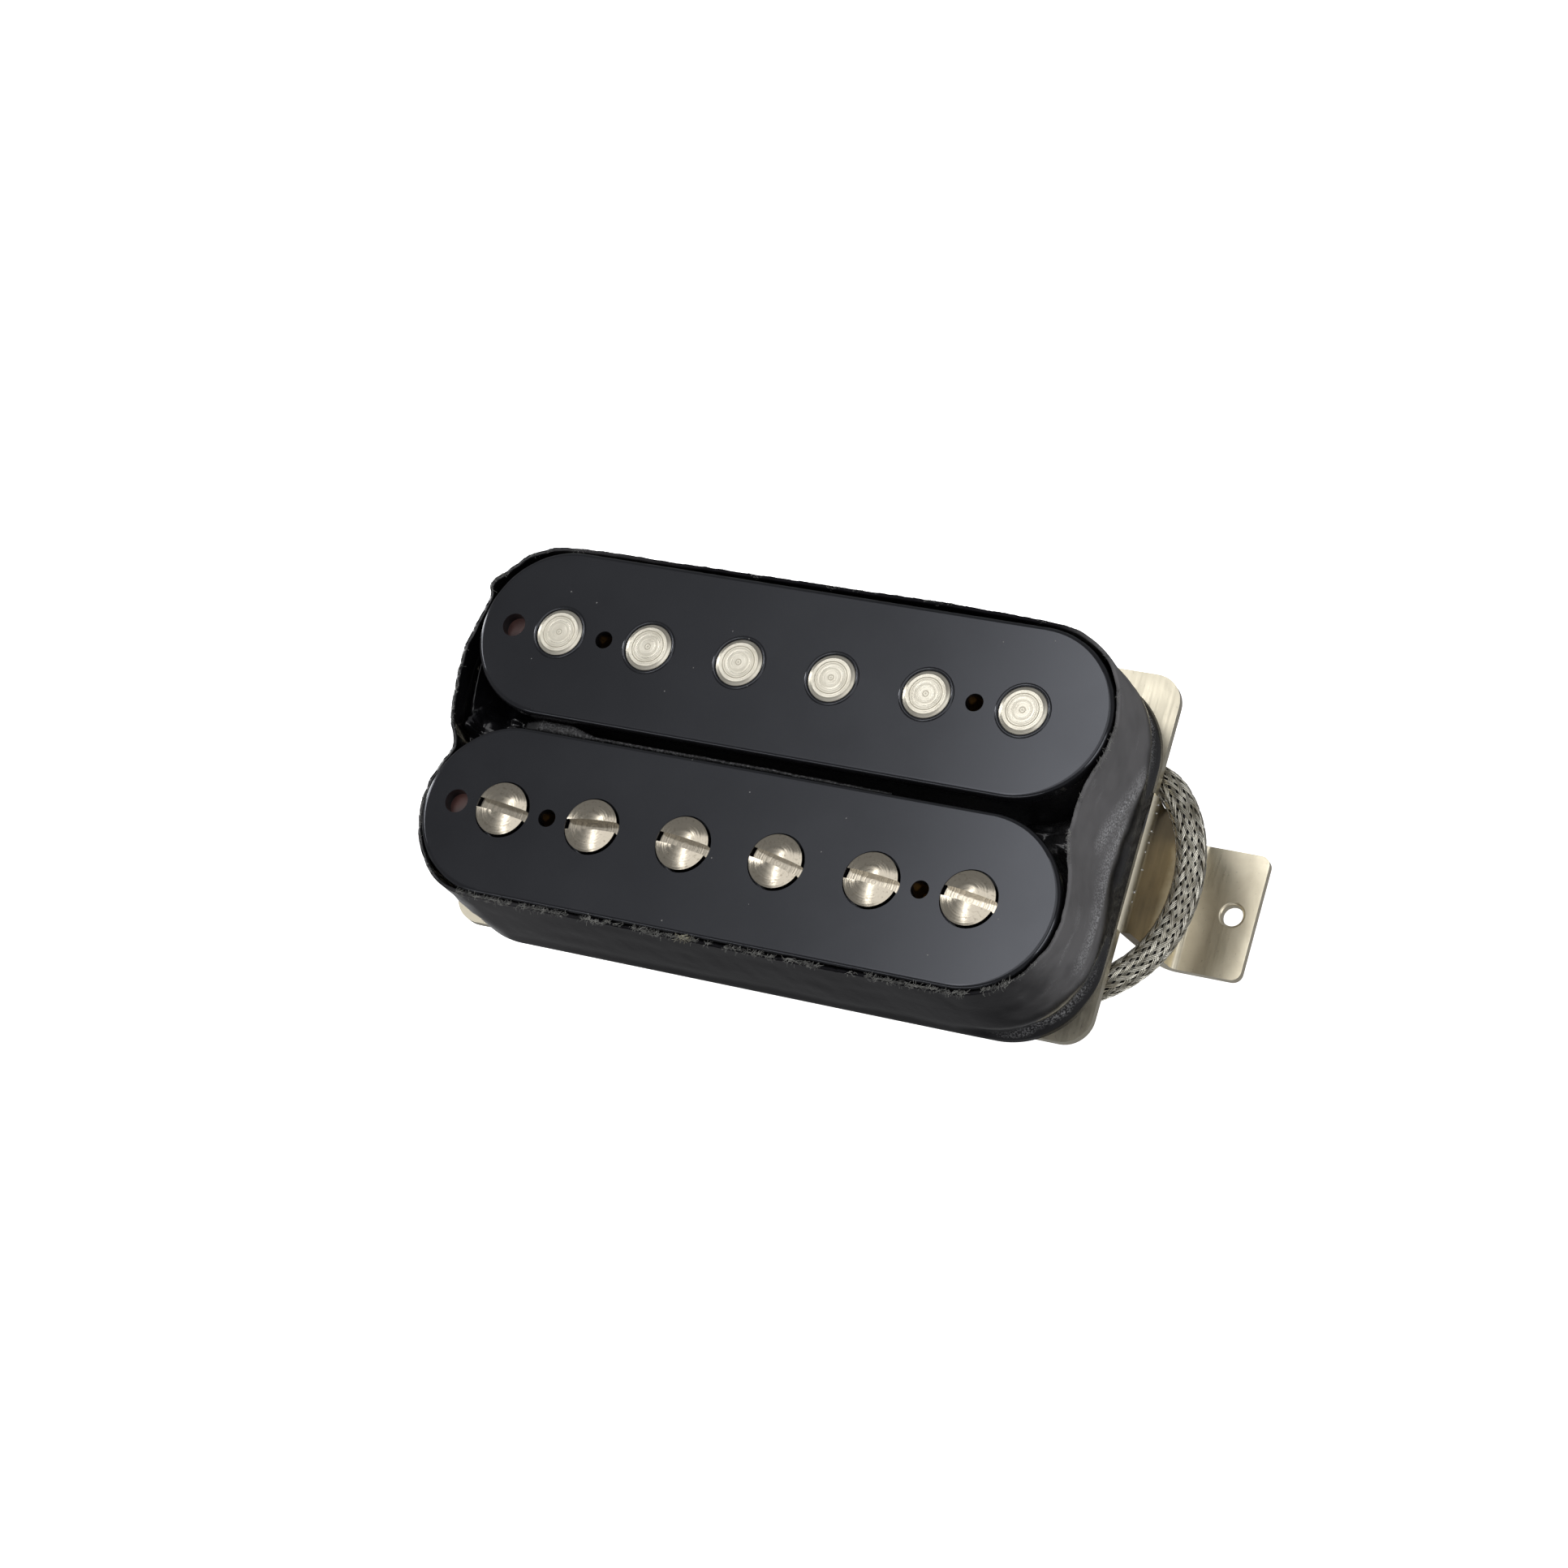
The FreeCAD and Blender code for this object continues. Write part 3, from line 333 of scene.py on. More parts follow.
# %% Braid tree: one copy of the line for each wire
braid, given = new_tree(
    "braid",
    {
        "Start": "Float", "End": "Float", "Step": "Float", "Carriers": "Int", "Wires": "Int",
        "Wire Width": "Float", "Wire Height": "Float", "Wire Spacing": "Float", "Sides": "Int",
        "Radius": "Float", "Weave": "Float", "Turn Rate": "Float",
    },
)
line = add(braid, LINE, [given["Geometry"]])
ends = {0: line, 4: given["Start"], 5: given["End"]}
line = add(braid, "GeometryNodeTrimCurve", ends, mode="LENGTH")
line = add(braid, "GeometryNodeResampleCurve", {0: line, "Length": given["Step"]}, mode="LENGTH")
one_way = add(braid, MATH, [given["Carriers"], given["Wires"]], operation="MULTIPLY")
both_ways = add(braid, MATH, [one_way, 2.0], operation="MULTIPLY")
copies = add(
    braid, "GeometryNodeDuplicateElements", {0: line, "Amount": both_ways}, domain="SPLINE"
)

# %% Braid tree: each wire's angle round the line
number = copies.node.outputs["Duplicate Index"]
wire = add(braid, MATH, [number, given["Wires"]], operation="FLOORED_MODULO")
band = add(braid, MATH, [number, given["Wires"]], operation="DIVIDE")
band = add(braid, MATH, [band], operation="FLOOR")
way = add(braid, MATH, [band, given["Carriers"]], operation="LESS_THAN")
way = add(braid, MATH, [way, 2.0, -1.0], operation="MULTIPLY_ADD")
share = add(braid, MATH, [band, given["Carriers"]], operation="DIVIDE")
middle = add(braid, MATH, [given["Wires"], 0.5, -0.5], operation="MULTIPLY_ADD")
aside = add(braid, MATH, [wire, middle], operation="SUBTRACT")
aside = add(braid, MATH, [aside, given["Wire Spacing"]], operation="MULTIPLY")
aside = add(braid, MATH, [aside, given["Radius"]], operation="DIVIDE")
first = add(braid, MATH, [share, math.tau, aside], operation="MULTIPLY_ADD")
travelled = add(braid, "GeometryNodeSplineParameter", out="Length")
travelled = add(braid, MATH, [travelled, given["Start"]], operation="ADD")
turning = add(braid, MATH, [travelled, given["Turn Rate"]], operation="MULTIPLY")
angle = add(braid, MATH, [turning, way, first], operation="MULTIPLY_ADD")

# %% Braid tree: over two, under two
wave = add(braid, MATH, [angle, given["Carriers"]], operation="MULTIPLY")
wave = add(braid, MATH, [wave, 0.5, -math.pi / 4], operation="MULTIPLY_ADD")
wave = add(braid, MATH, [wave], operation="COSINE")
wave = add(braid, MATH, [wave, 1.5], operation="MULTIPLY")
wave = add(braid, "ShaderNodeClamp", [wave, -1.0])
lift = add(braid, MATH, [wave, given["Weave"]], operation="MULTIPLY")
height = add(braid, MATH, [lift, way, given["Radius"]], operation="MULTIPLY_ADD")
normal = add(braid, "GeometryNodeInputNormal")
tangent = add(braid, "GeometryNodeInputTangent")
outward = add(braid, "ShaderNodeVectorRotate", {"Vector": normal, "Axis": tangent, "Angle": angle})
kept = add(braid, "GeometryNodeCaptureAttribute", domain="POINT").node
kept.capture_items.new("VECTOR", "Outward")
braid.links.new(copies, kept.inputs[0])
braid.links.new(outward, kept.inputs[1])
offset = add(braid, VECTOR_MATH, {0: outward, "Scale": height}, operation="SCALE")
wound = add(braid, "GeometryNodeSetPosition", {0: kept.outputs[0], "Offset": offset})
wound = add(
    braid, "GeometryNodeSetCurveNormal", {0: wound, "Normal": kept.outputs[1]}, mode="FREE"
)
ring = add(braid, CIRCLE, {"Resolution": given["Sides"], "Radius": 0.5})
flat = add(braid, "ShaderNodeCombineXYZ", [given["Wire Height"], given["Wire Width"], 1.0])
ring = add(braid, "GeometryNodeTransform", {0: ring, "Scale": flat})
tube = add(braid, TUBE, {0: wound, "Profile Curve": ring, "Fill Caps": True})
tube = add(braid, SMOOTH, [tube])
finish_tree(braid, tube, given)
print("braid tree nodes:", len(braid.nodes))

# %% [markdown]
# ## Tinned copper wire
# The wires are copper, drawn fine and dipped in tin. Tin is a soft grey metal that dulls with
# age, so the gloss is broken and the colour leans to a warm grey. Fingers darken it unevenly.
#
# Every finish here is a chain of nodes that starts at the object's own coordinates. A list fills
# a node's inputs in order, so a Map Range takes the value, what it runs from, and what it runs
# to. In a Mix of two colours input 0 is the share of the second, and 6 and 7 are the colours.

# %% Tinned copper
NOISE, MAP_RANGE, BUMP = "ShaderNodeTexNoise", "ShaderNodeMapRange", "ShaderNodeBump"
MIX, COLOUR = "ShaderNodeMix", {"out": 2, "data_type": "RGBA"}


def finish_material(tree, shader, share, tones, values, bump=()):
    """Fills a shader: two tones mixed by a share, values, and bumps (height, strength, depth)."""
    light, dark = (linear(tone) for tone in tones)
    tone = add(tree, MIX, {0: share, 6: light, 7: dark}, **COLOUR)
    fill(shader, {"Base Color": tone, **values})
    if bump:
        height, strength, depth = bump
        sockets = {"Strength": strength, "Distance": depth, "Height": height}
        fill(shader, {"Normal": add(tree, BUMP, sockets)})


tinned, tree, shader = new_material("tinned_copper_wire")
spot = add(tree, "ShaderNodeTexCoord", out="Object")
dirt = add(tree, NOISE, {"Vector": spot, "Scale": 1 / (1.2 * MM), "Detail": 3.0})
dirt = add(tree, MAP_RANGE, [dirt, 0.42, 0.68])
gloss = add(tree, MAP_RANGE, {0: dirt, 3: 0.24, 4: 0.42})
finish_material(tree, shader, dirt, ("#DDDACF", "#A09A8B"), {"Roughness": gloss, "Metallic": 1.0})

# %% [markdown]
# ### Two grades of braid
# The stretch that shows gets every wire, three to a band. The hank is out of view under the
# plate, so each of its bands is one flat strip, which keeps it light. The core inside is the
# lead's own line with a round bevel, slightly thinner than the braid's inner side.

# %% Braid on the stretch that shows, and on the hank
BRAID_ANGLE = math.radians(24)
WIRE, WEAVE = 0.135 * MM, 0.12 * MM
CORE_RADIUS = 1.08 * MM
SHOWN_END = 61.5 * MM
braid_radius = CABLE / 2 - WEAVE - WIRE / 2
weave = {
    "Carriers": 12, "Radius": braid_radius, "Turn Rate": math.tan(BRAID_ANGLE) / braid_radius,
    "Material": tinned,
}
lead_braid = bake(
    "lead_braid", lead_line, braid,
    {
        **weave, "Start": 0.0, "End": SHOWN_END, "Step": 0.34 * MM, "Wires": 3, "Sides": 5,
        "Wire Width": WIRE, "Wire Height": WIRE, "Wire Spacing": 0.145 * MM, "Weave": WEAVE,
    },
)
hank_braid = bake(
    "hank_braid", lead_line, braid,
    {
        **weave, "Start": SHOWN_END, "End": lead_length, "Step": 0.5 * MM, "Wires": 1, "Sides": 4,
        "Wire Width": 0.5 * MM, "Wire Height": WIRE, "Wire Spacing": 0.0, "Weave": 0.10 * MM,
    },
)
lead_curve.bevel_depth = CORE_RADIUS
lead_curve.bevel_resolution = 2
lead_curve.use_fill_caps = True

# %% Lead's black core
core_plastic, tree, shader = new_material("black_extruded_insulation")
spot = add(tree, "ShaderNodeTexCoord", out="Object")
haze = add(tree, NOISE, {"Vector": spot, "Scale": 1 / (0.8 * MM)})
finish_material(tree, shader, haze, ("#0B0B0C", "#1B1A19"), {"Roughness": 0.55})
lead_curve.materials.append(core_plastic)

# %% [markdown]
# ## The tape round the bobbins
# Black cloth tape is wound round both bobbins by hand and pressed down on the plate, then the
# whole pickup is dipped in wax. Its top edge is pulled in where it spans the hollow between the
# round ends, and its foot is turned out on the plate. It is too uneven for a lofted solid, so its
# wall is a mesh between two lines: the foot, a rounded rectangle, and the edge, listed point by
# point.
# A wrinkle is a small push along the wall's own outward direction. Points of the edge are x and y
# in millimetres, and the foot below each is found by halving the space that it can lie in.

# %% Tape's two lines
TAPE_WALL = 0.35
FOOT_LEVEL, EDGE_LEVEL, RIDGE_LEVEL = 13.9, 27.95, 15.2
ROW_Y, MIDDLE_Y = (8.2, -10.6), -1.2
END_X, BOBBIN_ROUND = 24.65, 8.65
TAPE_EDGE = [
    (-24.0, -19.7), (-14.5, -19.7), (-1.5, -19.7), (7.0, -19.75), (15.3, -19.7), (24.0, -19.65),
    (29.3, -18.5), (32.6, -15.3), (33.95, -11.2), (33.6, -7.0), (32.5, -3.4), (32.35, -0.8),
    (32.6, 2.3), (33.5, 5.2), (33.85, 8.4), (33.0, 12.2), (31.3, 14.9), (28.5, 16.7),
    (25.2, 17.4), (15.0, 17.7), (8.0, 17.65), (-3.0, 17.55), (-15.0, 17.45), (-22.5, 17.4),
    (-27.2, 17.2), (-30.2, 16.2), (-32.0, 14.6), (-33.9, 12.3), (-33.6, 10.9), (-34.05, 8.2),
    (-34.5, 5.8), (-34.5, 4.0), (-34.2, 1.0), (-33.9, -0.9), (-33.3, -2.8), (-32.6, -4.1),
    (-32.4, -5.3), (-33.2, -7.4), (-33.65, -9.2), (-33.6, -11.6), (-33.1, -13.9), (-31.8, -16.4),
    (-29.6, -18.6), (-27.2, -19.5),
]
FOOT_BOX = (-34.25, 34.25, -19.95, 17.75)
FOOT_CORNER = 8.6
HALVINGS = 30


def smooth_loop(points, count):
    """A closed Catmull-Rom line through the points, as points at equal distances."""
    fine = []
    parts, total = 24, len(points)
    for number in range(total):
        a, b, c, d = (Vector(points[(number + k - 1) % total]) for k in range(4))
        for part in range(parts):
            t = part / parts
            fine.append(
                0.5 * (2 * b + (c - a) * t + (2 * a - 5 * b + 4 * c - d) * t**2
                       + (3 * b - a - 3 * c + d) * t**3)
            )
    lengths = [0.0]
    for p, q in zip(fine, fine[1:] + fine[:1]):
        lengths.append(lengths[-1] + (q - p).length)
    even, at = [], 0
    for number in range(count):
        wanted = lengths[-1] * number / count
        while lengths[at + 1] < wanted:
            at += 1
        share = (wanted - lengths[at]) / (lengths[at + 1] - lengths[at])
        even.append(fine[at].lerp(fine[(at + 1) % len(fine)], share))
    return even


def box_distance(point):
    """How far a point is outside the foot's rounded rectangle; inside it is below zero."""
    x_low, x_high, y_low, y_high = FOOT_BOX
    dx = abs(point.x - (x_low + x_high) / 2) - (x_high - x_low) / 2 + FOOT_CORNER
    dy = abs(point.y - (y_low + y_high) / 2) - (y_high - y_low) / 2 + FOOT_CORNER
    return math.hypot(max(dx, 0), max(dy, 0)) + min(max(dx, dy), 0) - FOOT_CORNER


def foot_below(edge_point):
    """The foot's point on the same ray from the middle as a point of the edge."""
    middle = Vector((0, -1.1))
    low, high = 0.5, 1.5
    for _ in range(HALVINGS):
        trial = (low + high) / 2
        if box_distance(middle + (edge_point - middle) * trial) < 0:
            low = trial
        else:
            high = trial
    return middle + (edge_point - middle) * low


COLUMNS = 760
edge_line = smooth_loop(TAPE_EDGE, COLUMNS)
foot_line = [foot_below(point) for point in edge_line]

# %% [markdown]
# ### Creases and ridge
# A crease is a line on the right wall, from one place (y, z) to another, with a width and a
# height. The ridge is where the tape turns out onto the plate: the wall is pinched in just above
# it, most at the two corners by the lead. Softer waves run all round, and more of them at the
# left end. Each has a height, what is added to it at the left end, and how many lie in a
# millimetre along x, y and z. END_BLEND says how far out the wrinkles of the ends begin, and
# where they are whole. Higher than FREE_BELOW the tape may not cut into the bobbins.

# %% Tape's surface
WAVES = [
    (0.12, 0.0, (0.16, 0.16, 0.3)),
    (0.04, 0.10, (0.5, 0.5, 0.28)),
    (0.02, 0.05, (1.6, 1.6, 0.7)),
]
FREE_BELOW = 16.8
END_BLEND = (22, 30)
CREASES = [
    ((6.8, 18.0), (-1.0, 21.6), 1.0, 0.38),
    ((2.0, 18.2), (-12.5, 20.6), 1.1, 0.38),
    ((5.0, 16.6), (-9.0, 17.2), 0.9, -0.38),
    ((-2.0, 20.6), (-9.0, 22.4), 0.9, -0.18),
    ((-5.0, 18.4), (-13.5, 18.6), 0.8, -0.22),
]


def between(value, start, end):
    """How far a value has come from a start to an end, as a share that stays from 0 to 1."""
    return min(max((value - start) / (end - start), 0.0), 1.0)


def bump_of_creases(y, z):
    """How far the creases push a point of the right wall out, or, below zero, in."""
    total = 0.0
    for (y0, z0), (y1, z1), width, height in CREASES:
        along = Vector((y1 - y0, z1 - z0))
        share = between(Vector((y - y0, z - z0)).dot(along), 0.0, along.length_squared)
        nearest = Vector((y0, z0)) + along * share
        away = (Vector((y, z)) - nearest).length
        fading = math.sin(math.pi * (0.1 + 0.8 * share))
        total += height * math.exp(-((away / width) ** 2)) * fading
    return total


def near_bobbin(x, y):
    """Distance from a point to the nearer bobbin's rim."""
    inward = min(max(x, -END_X), END_X)
    return min(math.hypot(x - inward, y - row) for row in ROW_Y) - BOBBIN_ROUND


def noise_at(place, frequency):
    """Noise from -1 to 1 at a place whose coordinates are multiplied first."""
    return noise.noise(Vector([c * f for c, f in zip(place, frequency)]))


def tape_point(column, level, wall):
    """A point of the tape's outer face, or of its inner face, a wall's thickness further in."""
    edge, foot = edge_line[column], foot_line[column]
    ahead = edge_line[(column + 2) % COLUMNS] - edge_line[column - 2]
    outward = Vector((ahead.y, -ahead.x)).normalized()
    ragged = 0.22 * noise.noise(Vector((edge.x, edge.y, 3.0)) * 0.9)
    ragged += 0.10 * noise.noise(Vector((edge.x, edge.y, 9.0)) * 3.5)
    z = FOOT_LEVEL + (EDGE_LEVEL + ragged - FOOT_LEVEL) * level
    share = level**0.8
    place = foot.lerp(edge, share)
    left_end, right_end = between(-place.x, *END_BLEND), between(place.x, *END_BLEND)
    corner = right_end * min(abs(place.y - MIDDLE_Y) / 14, 1.0) ** 2
    spot = (place.x, place.y, z)
    swell = sum(
        (height + more * left_end) * noise_at(spot, per_mm) for height, more, per_mm in WAVES
    )
    swell += bump_of_creases(place.y, z) * right_end
    pinch = (0.15 + 0.85 * corner) * math.exp(-(((z - RIDGE_LEVEL - 0.5) / 1.1) ** 2))
    flat_share = max(math.sin(math.pi * min(level, 1.0)), 0.0) ** 0.5 if level < 1 else 0.0
    place = place + outward * (swell * flat_share - pinch * (1 - left_end) - wall)
    room = near_bobbin(place.x, place.y)
    least = 0.08 + TAPE_WALL - wall
    if room < least and z > FREE_BELOW:
        place = place + outward * (least - room)
    return Vector((place.x, place.y, z)) * MM


LEVELS = [0.0, 0.03, 0.06, 0.09, 0.12, 0.16, 0.20, 0.25, 0.31, 0.37, 0.43, 0.50, 0.57, 0.64,
          0.71, 0.78, 0.84, 0.90, 0.95, 0.985, 1.0]
profile = [(level, 0.0) for level in LEVELS] + [(level, TAPE_WALL) for level in reversed(LEVELS)]
vertices, faces = [], []
for column in range(COLUMNS):
    for level, wall in profile:
        vertices.append(tape_point(column, level, wall))
rows = len(profile)
for column in range(COLUMNS):
    after = (column + 1) % COLUMNS
    for row in range(rows):
        above = (row + 1) % rows
        faces.append(
            (column * rows + row, after * rows + row, after * rows + above, column * rows + above)
        )
tape = new_mesh_object("wound_tape", vertices, faces)
for face in tape.data.polygons:
    face.use_smooth = True
print("tape faces:", len(faces))

# %% [markdown]
# ## Waxed cloth tape
# The cloth is dyed black and stiff with wax. At the left end and at the foot of the right wall the
# wax lies thick and glossy, which is a coat over the cloth. On the right wall it has dried to a
# dull grey bloom, and this grey is partly painted light on the wall that faces the right. Painted
# highlights whiten it on soft streaks, on the raised creases and on the corners' ridge, where the
# weave breaks them into speckles as fine as its threads, just under 0.2 mm. The grey stops above
# the ridge, 2 mm higher at the corners, and below it the wall stays black: thick wax, and painted
# shade in the valley above the ridge. The front wall is painted lighter toward its left end. One
# material has it all: how near a point is to a crease, a ridge or an end comes from its
# coordinates, so no border shows between the kinds. The loose folds in the hollows are under wax
# all over, so they get the same cloth with a whole coat and a quarter of the bloom.

# %% Waxed cloth tape
def closeness(tree, place, start, end, width):
    """1 on a line of the wall from one place (y, z) to another, down to 0 a width away."""
    flat = add(tree, "ShaderNodeCombineXYZ", {1: place[1], 2: place[2]})
    line = Vector((0.0, end[0] - start[0], end[1] - start[1])) * MM
    from_start = add(tree, VECTOR_MATH, [flat, Vector((0.0, *start)) * MM], operation="SUBTRACT")
    share = add(
        tree, VECTOR_MATH, [from_start, line / line.length_squared],
        out="Value", operation="DOT_PRODUCT",
    )
    share = add(tree, "ShaderNodeClamp", [share])
    nearest = add(tree, "ShaderNodeCombineXYZ", {1: line.y, 2: line.z})
    nearest = add(tree, VECTOR_MATH, {0: nearest, "Scale": share}, operation="SCALE")
    away = add(tree, VECTOR_MATH, [from_start, nearest], out="Value", operation="DISTANCE")
    return add(tree, MAP_RANGE, [away, width * MM, 0.0])


def waxed_cloth(name, coat=None):
    """Black cloth tape, dull grey toward the right wall with painted light, highlights and shade,
    under an uneven or even coat.
    """
    material, tree, shader = new_material(name)
    spot = add(tree, "ShaderNodeTexCoord", out="Object")
    place = add(tree, "ShaderNodeSeparateXYZ", [spot]).node.outputs
    patch = add(tree, NOISE, {"Vector": spot, "Scale": 1 / (3.5 * MM), "Detail": 2.0})
    ragged = add(tree, MATH, [patch, 4 * MM, -2 * MM], operation="MULTIPLY_ADD")
    across = add(tree, MATH, [place[0], ragged], operation="ADD")
    toward_right = add(tree, MAP_RANGE, [across, 25 * MM, 32.5 * MM])
    raised = add(tree, MATH, [patch, 1.5 * MM, place[2]], operation="MULTIPLY_ADD")
    off_middle = add(tree, MATH, [place[1], -MIDDLE_Y * MM], operation="ADD")
    off_middle = add(tree, MATH, [off_middle], operation="ABSOLUTE")
    low_corner = add(tree, MAP_RANGE, [off_middle, 9 * MM, 15 * MM])
    lifted = add(tree, MATH, [low_corner, -2.0 * MM, raised], operation="MULTIPLY_ADD")
    # Below this height the grey is cut off, 2 mm higher at the corners: thick wax, and painted
    # shade in the valley above the ridge.
    above_ridge = add(tree, MAP_RANGE, [lifted, 17.2 * MM, 18.6 * MM])
    past_corner = add(tree, MATH, [place[1], ragged], operation="ADD")
    past_corner = add(tree, MAP_RANGE, [past_corner, -19.5 * MM, -13 * MM])
    grain = add(
        tree, NOISE,
        {"Vector": spot, "Scale": 1 / (0.18 * MM), "Detail": 2.0, "Roughness": 0.7}
    )
    streak_map = add(
        tree, "ShaderNodeMapping",
        {"Vector": spot, "Rotation": (math.radians(32), 0, 0), "Scale": (1, 0.25, 1)}
    )
    streak = add(
        tree, NOISE,
        {"Vector": streak_map, "Scale": 1 / (2.0 * MM), "Detail": 3.0, "Roughness": 0.55}
    )
    # The grey is wax bloom, and on the right wall it is also painted light.
    bloom_and_painted_light = add(tree, MAP_RANGE, [patch, 0.30, 0.60, 0.80, 1.0])
    for share in (toward_right, above_ridge, past_corner):
        bloom_and_painted_light = add(tree, MATH, [bloom_and_painted_light, share], operation="MULTIPLY")
    # Painted light: the front wall is painted lighter toward its left end.
    front_left_painted_light = add(tree, MAP_RANGE, [across, -12 * MM, -26 * MM, 0.0, 0.30])
    bloom_and_painted_light = add(tree, MATH, [bloom_and_painted_light, front_left_painted_light], operation="MAXIMUM")
    if coat is not None:
        bloom_and_painted_light = add(tree, MATH, [bloom_and_painted_light, 0.25], operation="MULTIPLY")
    # Painted highlights: soft streaks and the raised creases, speckled by the weave, mix the tone
    # toward pale grey.
    bright = add(tree, MAP_RANGE, [streak, 0.58, 0.78, 0.0, 0.6])
    for start, end, width, _ in CREASES[:2]:
        crease_painted_highlight = closeness(tree, place, start, end, 1.6 * width)
        bright = add(tree, MATH, [bright, crease_painted_highlight], operation="MAXIMUM")
    speckle = add(tree, MAP_RANGE, [grain, 0.44, 0.66])
    for share in (speckle, bloom_and_painted_light):
        bright = add(tree, MATH, [bright, share], operation="MULTIPLY")
    # Painted highlight along the corners' ridge, where the tape turns out onto the plate.
    off_ridge = add(tree, MATH, [raised, 16.0 * MM], operation="SUBTRACT")
    off_ridge = add(tree, MATH, [off_ridge], operation="ABSOLUTE")
    ridge_painted_highlight = add(tree, MAP_RANGE, [off_ridge, 0.55 * MM, 0.1 * MM, 0.0, 0.6])
    for share in (speckle, toward_right, low_corner):
        ridge_painted_highlight = add(tree, MATH, [ridge_painted_highlight, share], operation="MULTIPLY")
    bright = add(tree, MATH, [bright, ridge_painted_highlight], operation="MAXIMUM")
    tone = add(tree, MIX, {0: bloom_and_painted_light, 6: linear("#0C0C0E"), 7: linear("#6C6B6C")}, **COLOUR)
    tone = add(tree, MIX, {0: bright, 6: tone, 7: linear("#B6B6B8")}, **COLOUR)
    dull = add(tree, MATH, [bloom_and_painted_light, 0.25, 0.40], operation="MULTIPLY_ADD")
    at_left = add(tree, MAP_RANGE, [across, -26.5 * MM, -29 * MM])
    at_foot = add(tree, MAP_RANGE, [lifted, 17.2 * MM, 16.4 * MM])
    at_foot = add(tree, MATH, [at_foot, toward_right], operation="MULTIPLY")
    wax = add(tree, MATH, [at_left, at_foot], operation="MAXIMUM")
    weave_bump = add(tree, BUMP, {"Strength": 0.3, "Distance": 0.03 * MM, "Height": grain})
    soft_bump = add(
        tree, BUMP,
        {"Strength": 0.3, "Distance": 0.12 * MM, "Height": streak, "Normal": weave_bump}
    )
    dry = add(tree, MATH, [1.0, at_left], operation="SUBTRACT")
    tone = add(tree, MIX, {0: dry, 6: linear("#0B0B0D"), 7: tone}, **COLOUR)
    fill(
        shader,
        {
            "Base Color": tone, "Roughness": dull, "Normal": soft_bump,
            "Coat Weight": wax if coat is None else coat, "Coat Roughness": 0.12,
            "Specular IOR Level": 0.09, "Specular Tint": linear("#F6F0FF"),
        },
    )
    return material


tape.data.materials.append(waxed_cloth("waxed_cloth_tape"))
thick_wax = waxed_cloth("thick_waxed_tape", 1.0)
print("tape nodes:", len(thick_wax.node_tree.nodes))

# %% [markdown]
# ## Polished black moulding
# The bobbins are injection-moulded in black plastic, in a polished mould. That gives a deep
# black with a broad soft gloss: it takes the tone of whatever box of light it faces. Handling
# leaves a haze of faint rubs, and pale dust lies on it here and there. Real rubs are finer than a
# pixel of the picture, so they are drawn as coarse as they need to be to break the gloss.

# %% Black moulding
black_moulding, tree, shader = new_material("polished_black_moulding")
spot = add(tree, "ShaderNodeTexCoord", out="Object")
haze = add(tree, NOISE, {"Vector": spot, "Scale": 1 / (9.0 * MM), "Detail": 4.0})
flecks = add(
    tree, "ShaderNodeTexVoronoi", {"Vector": spot, "Scale": 1 / (1.7 * MM), "Randomness": 1.0}
).node.outputs
near = add(tree, MATH, [flecks["Distance"], 0.045], operation="LESS_THAN")
chosen = add(tree, "ShaderNodeSeparateColor", [flecks["Color"]])
chosen = add(tree, MATH, [chosen, 0.45], operation="LESS_THAN")
dust = near
for share in (chosen, 0.55):
    dust = add(tree, MATH, [dust, share], operation="MULTIPLY")
tone = add(tree, MIX, {0: haze, 6: linear("#0F0F11"), 7: linear("#151517")}, **COLOUR)
tone = add(tree, MIX, {0: dust, 6: tone, 7: linear("#8E8C88")}, **COLOUR)
rub_map = add(tree, "ShaderNodeMapping", {"Vector": spot, "Scale": (0.12, 1.0, 1.0)})
rubs = add(tree, NOISE, {"Vector": rub_map, "Scale": 1 / (0.35 * MM), "Detail": 3.0})
gloss = add(tree, MAP_RANGE, [haze, 0.3, 0.7, 0.11, 0.16])
gloss = add(tree, MATH, [dust, 0.5, gloss], operation="MULTIPLY_ADD")
fine = add(tree, BUMP, {"Strength": 0.06, "Distance": 0.01 * MM, "Height": rubs})
fill(
    shader,
    {
        "Base Color": tone, "Roughness": gloss, "Normal": fine, "IOR": 1.53,
        "Specular Tint": linear("#F0F4FF"),
    },
)

# %% [markdown]
# ## Nickel silver sheet
# The plate is rolled nickel silver, a copper alloy that looks like a warm steel. Rolling leaves
# faint lines along the sheet, and years of handling leave brown tarnish, most on the legs and
# the feet, where flux and fingers have been. Below the plate the legs and feet are painted
# lighter, which is painted light. Near the plate the legs are painted darker and browner, with
# streaks along the bend, which are painted shade and painted reflections. Rolling lines are a
# few hundredths of a millimetre wide, too fine to show, so they are drawn a quarter of a
# millimetre wide.

# %% Nickel silver
nickel_silver, tree, shader = new_material("rolled_nickel_silver")
spot = add(tree, "ShaderNodeTexCoord", out="Object")
place = add(tree, "ShaderNodeSeparateXYZ", [spot]).node.outputs
cloud = add(
    tree, NOISE,
    {"Vector": spot, "Scale": 1 / (5.0 * MM), "Detail": 4.0, "Roughness": 0.6, "Distortion": 0.8}
)
tarnish = add(tree, MAP_RANGE, [cloud, 0.35, 0.70, 0.0, 0.8])
below_plate = add(tree, MAP_RANGE, [place[2], 13.2 * MM, 12.0 * MM])
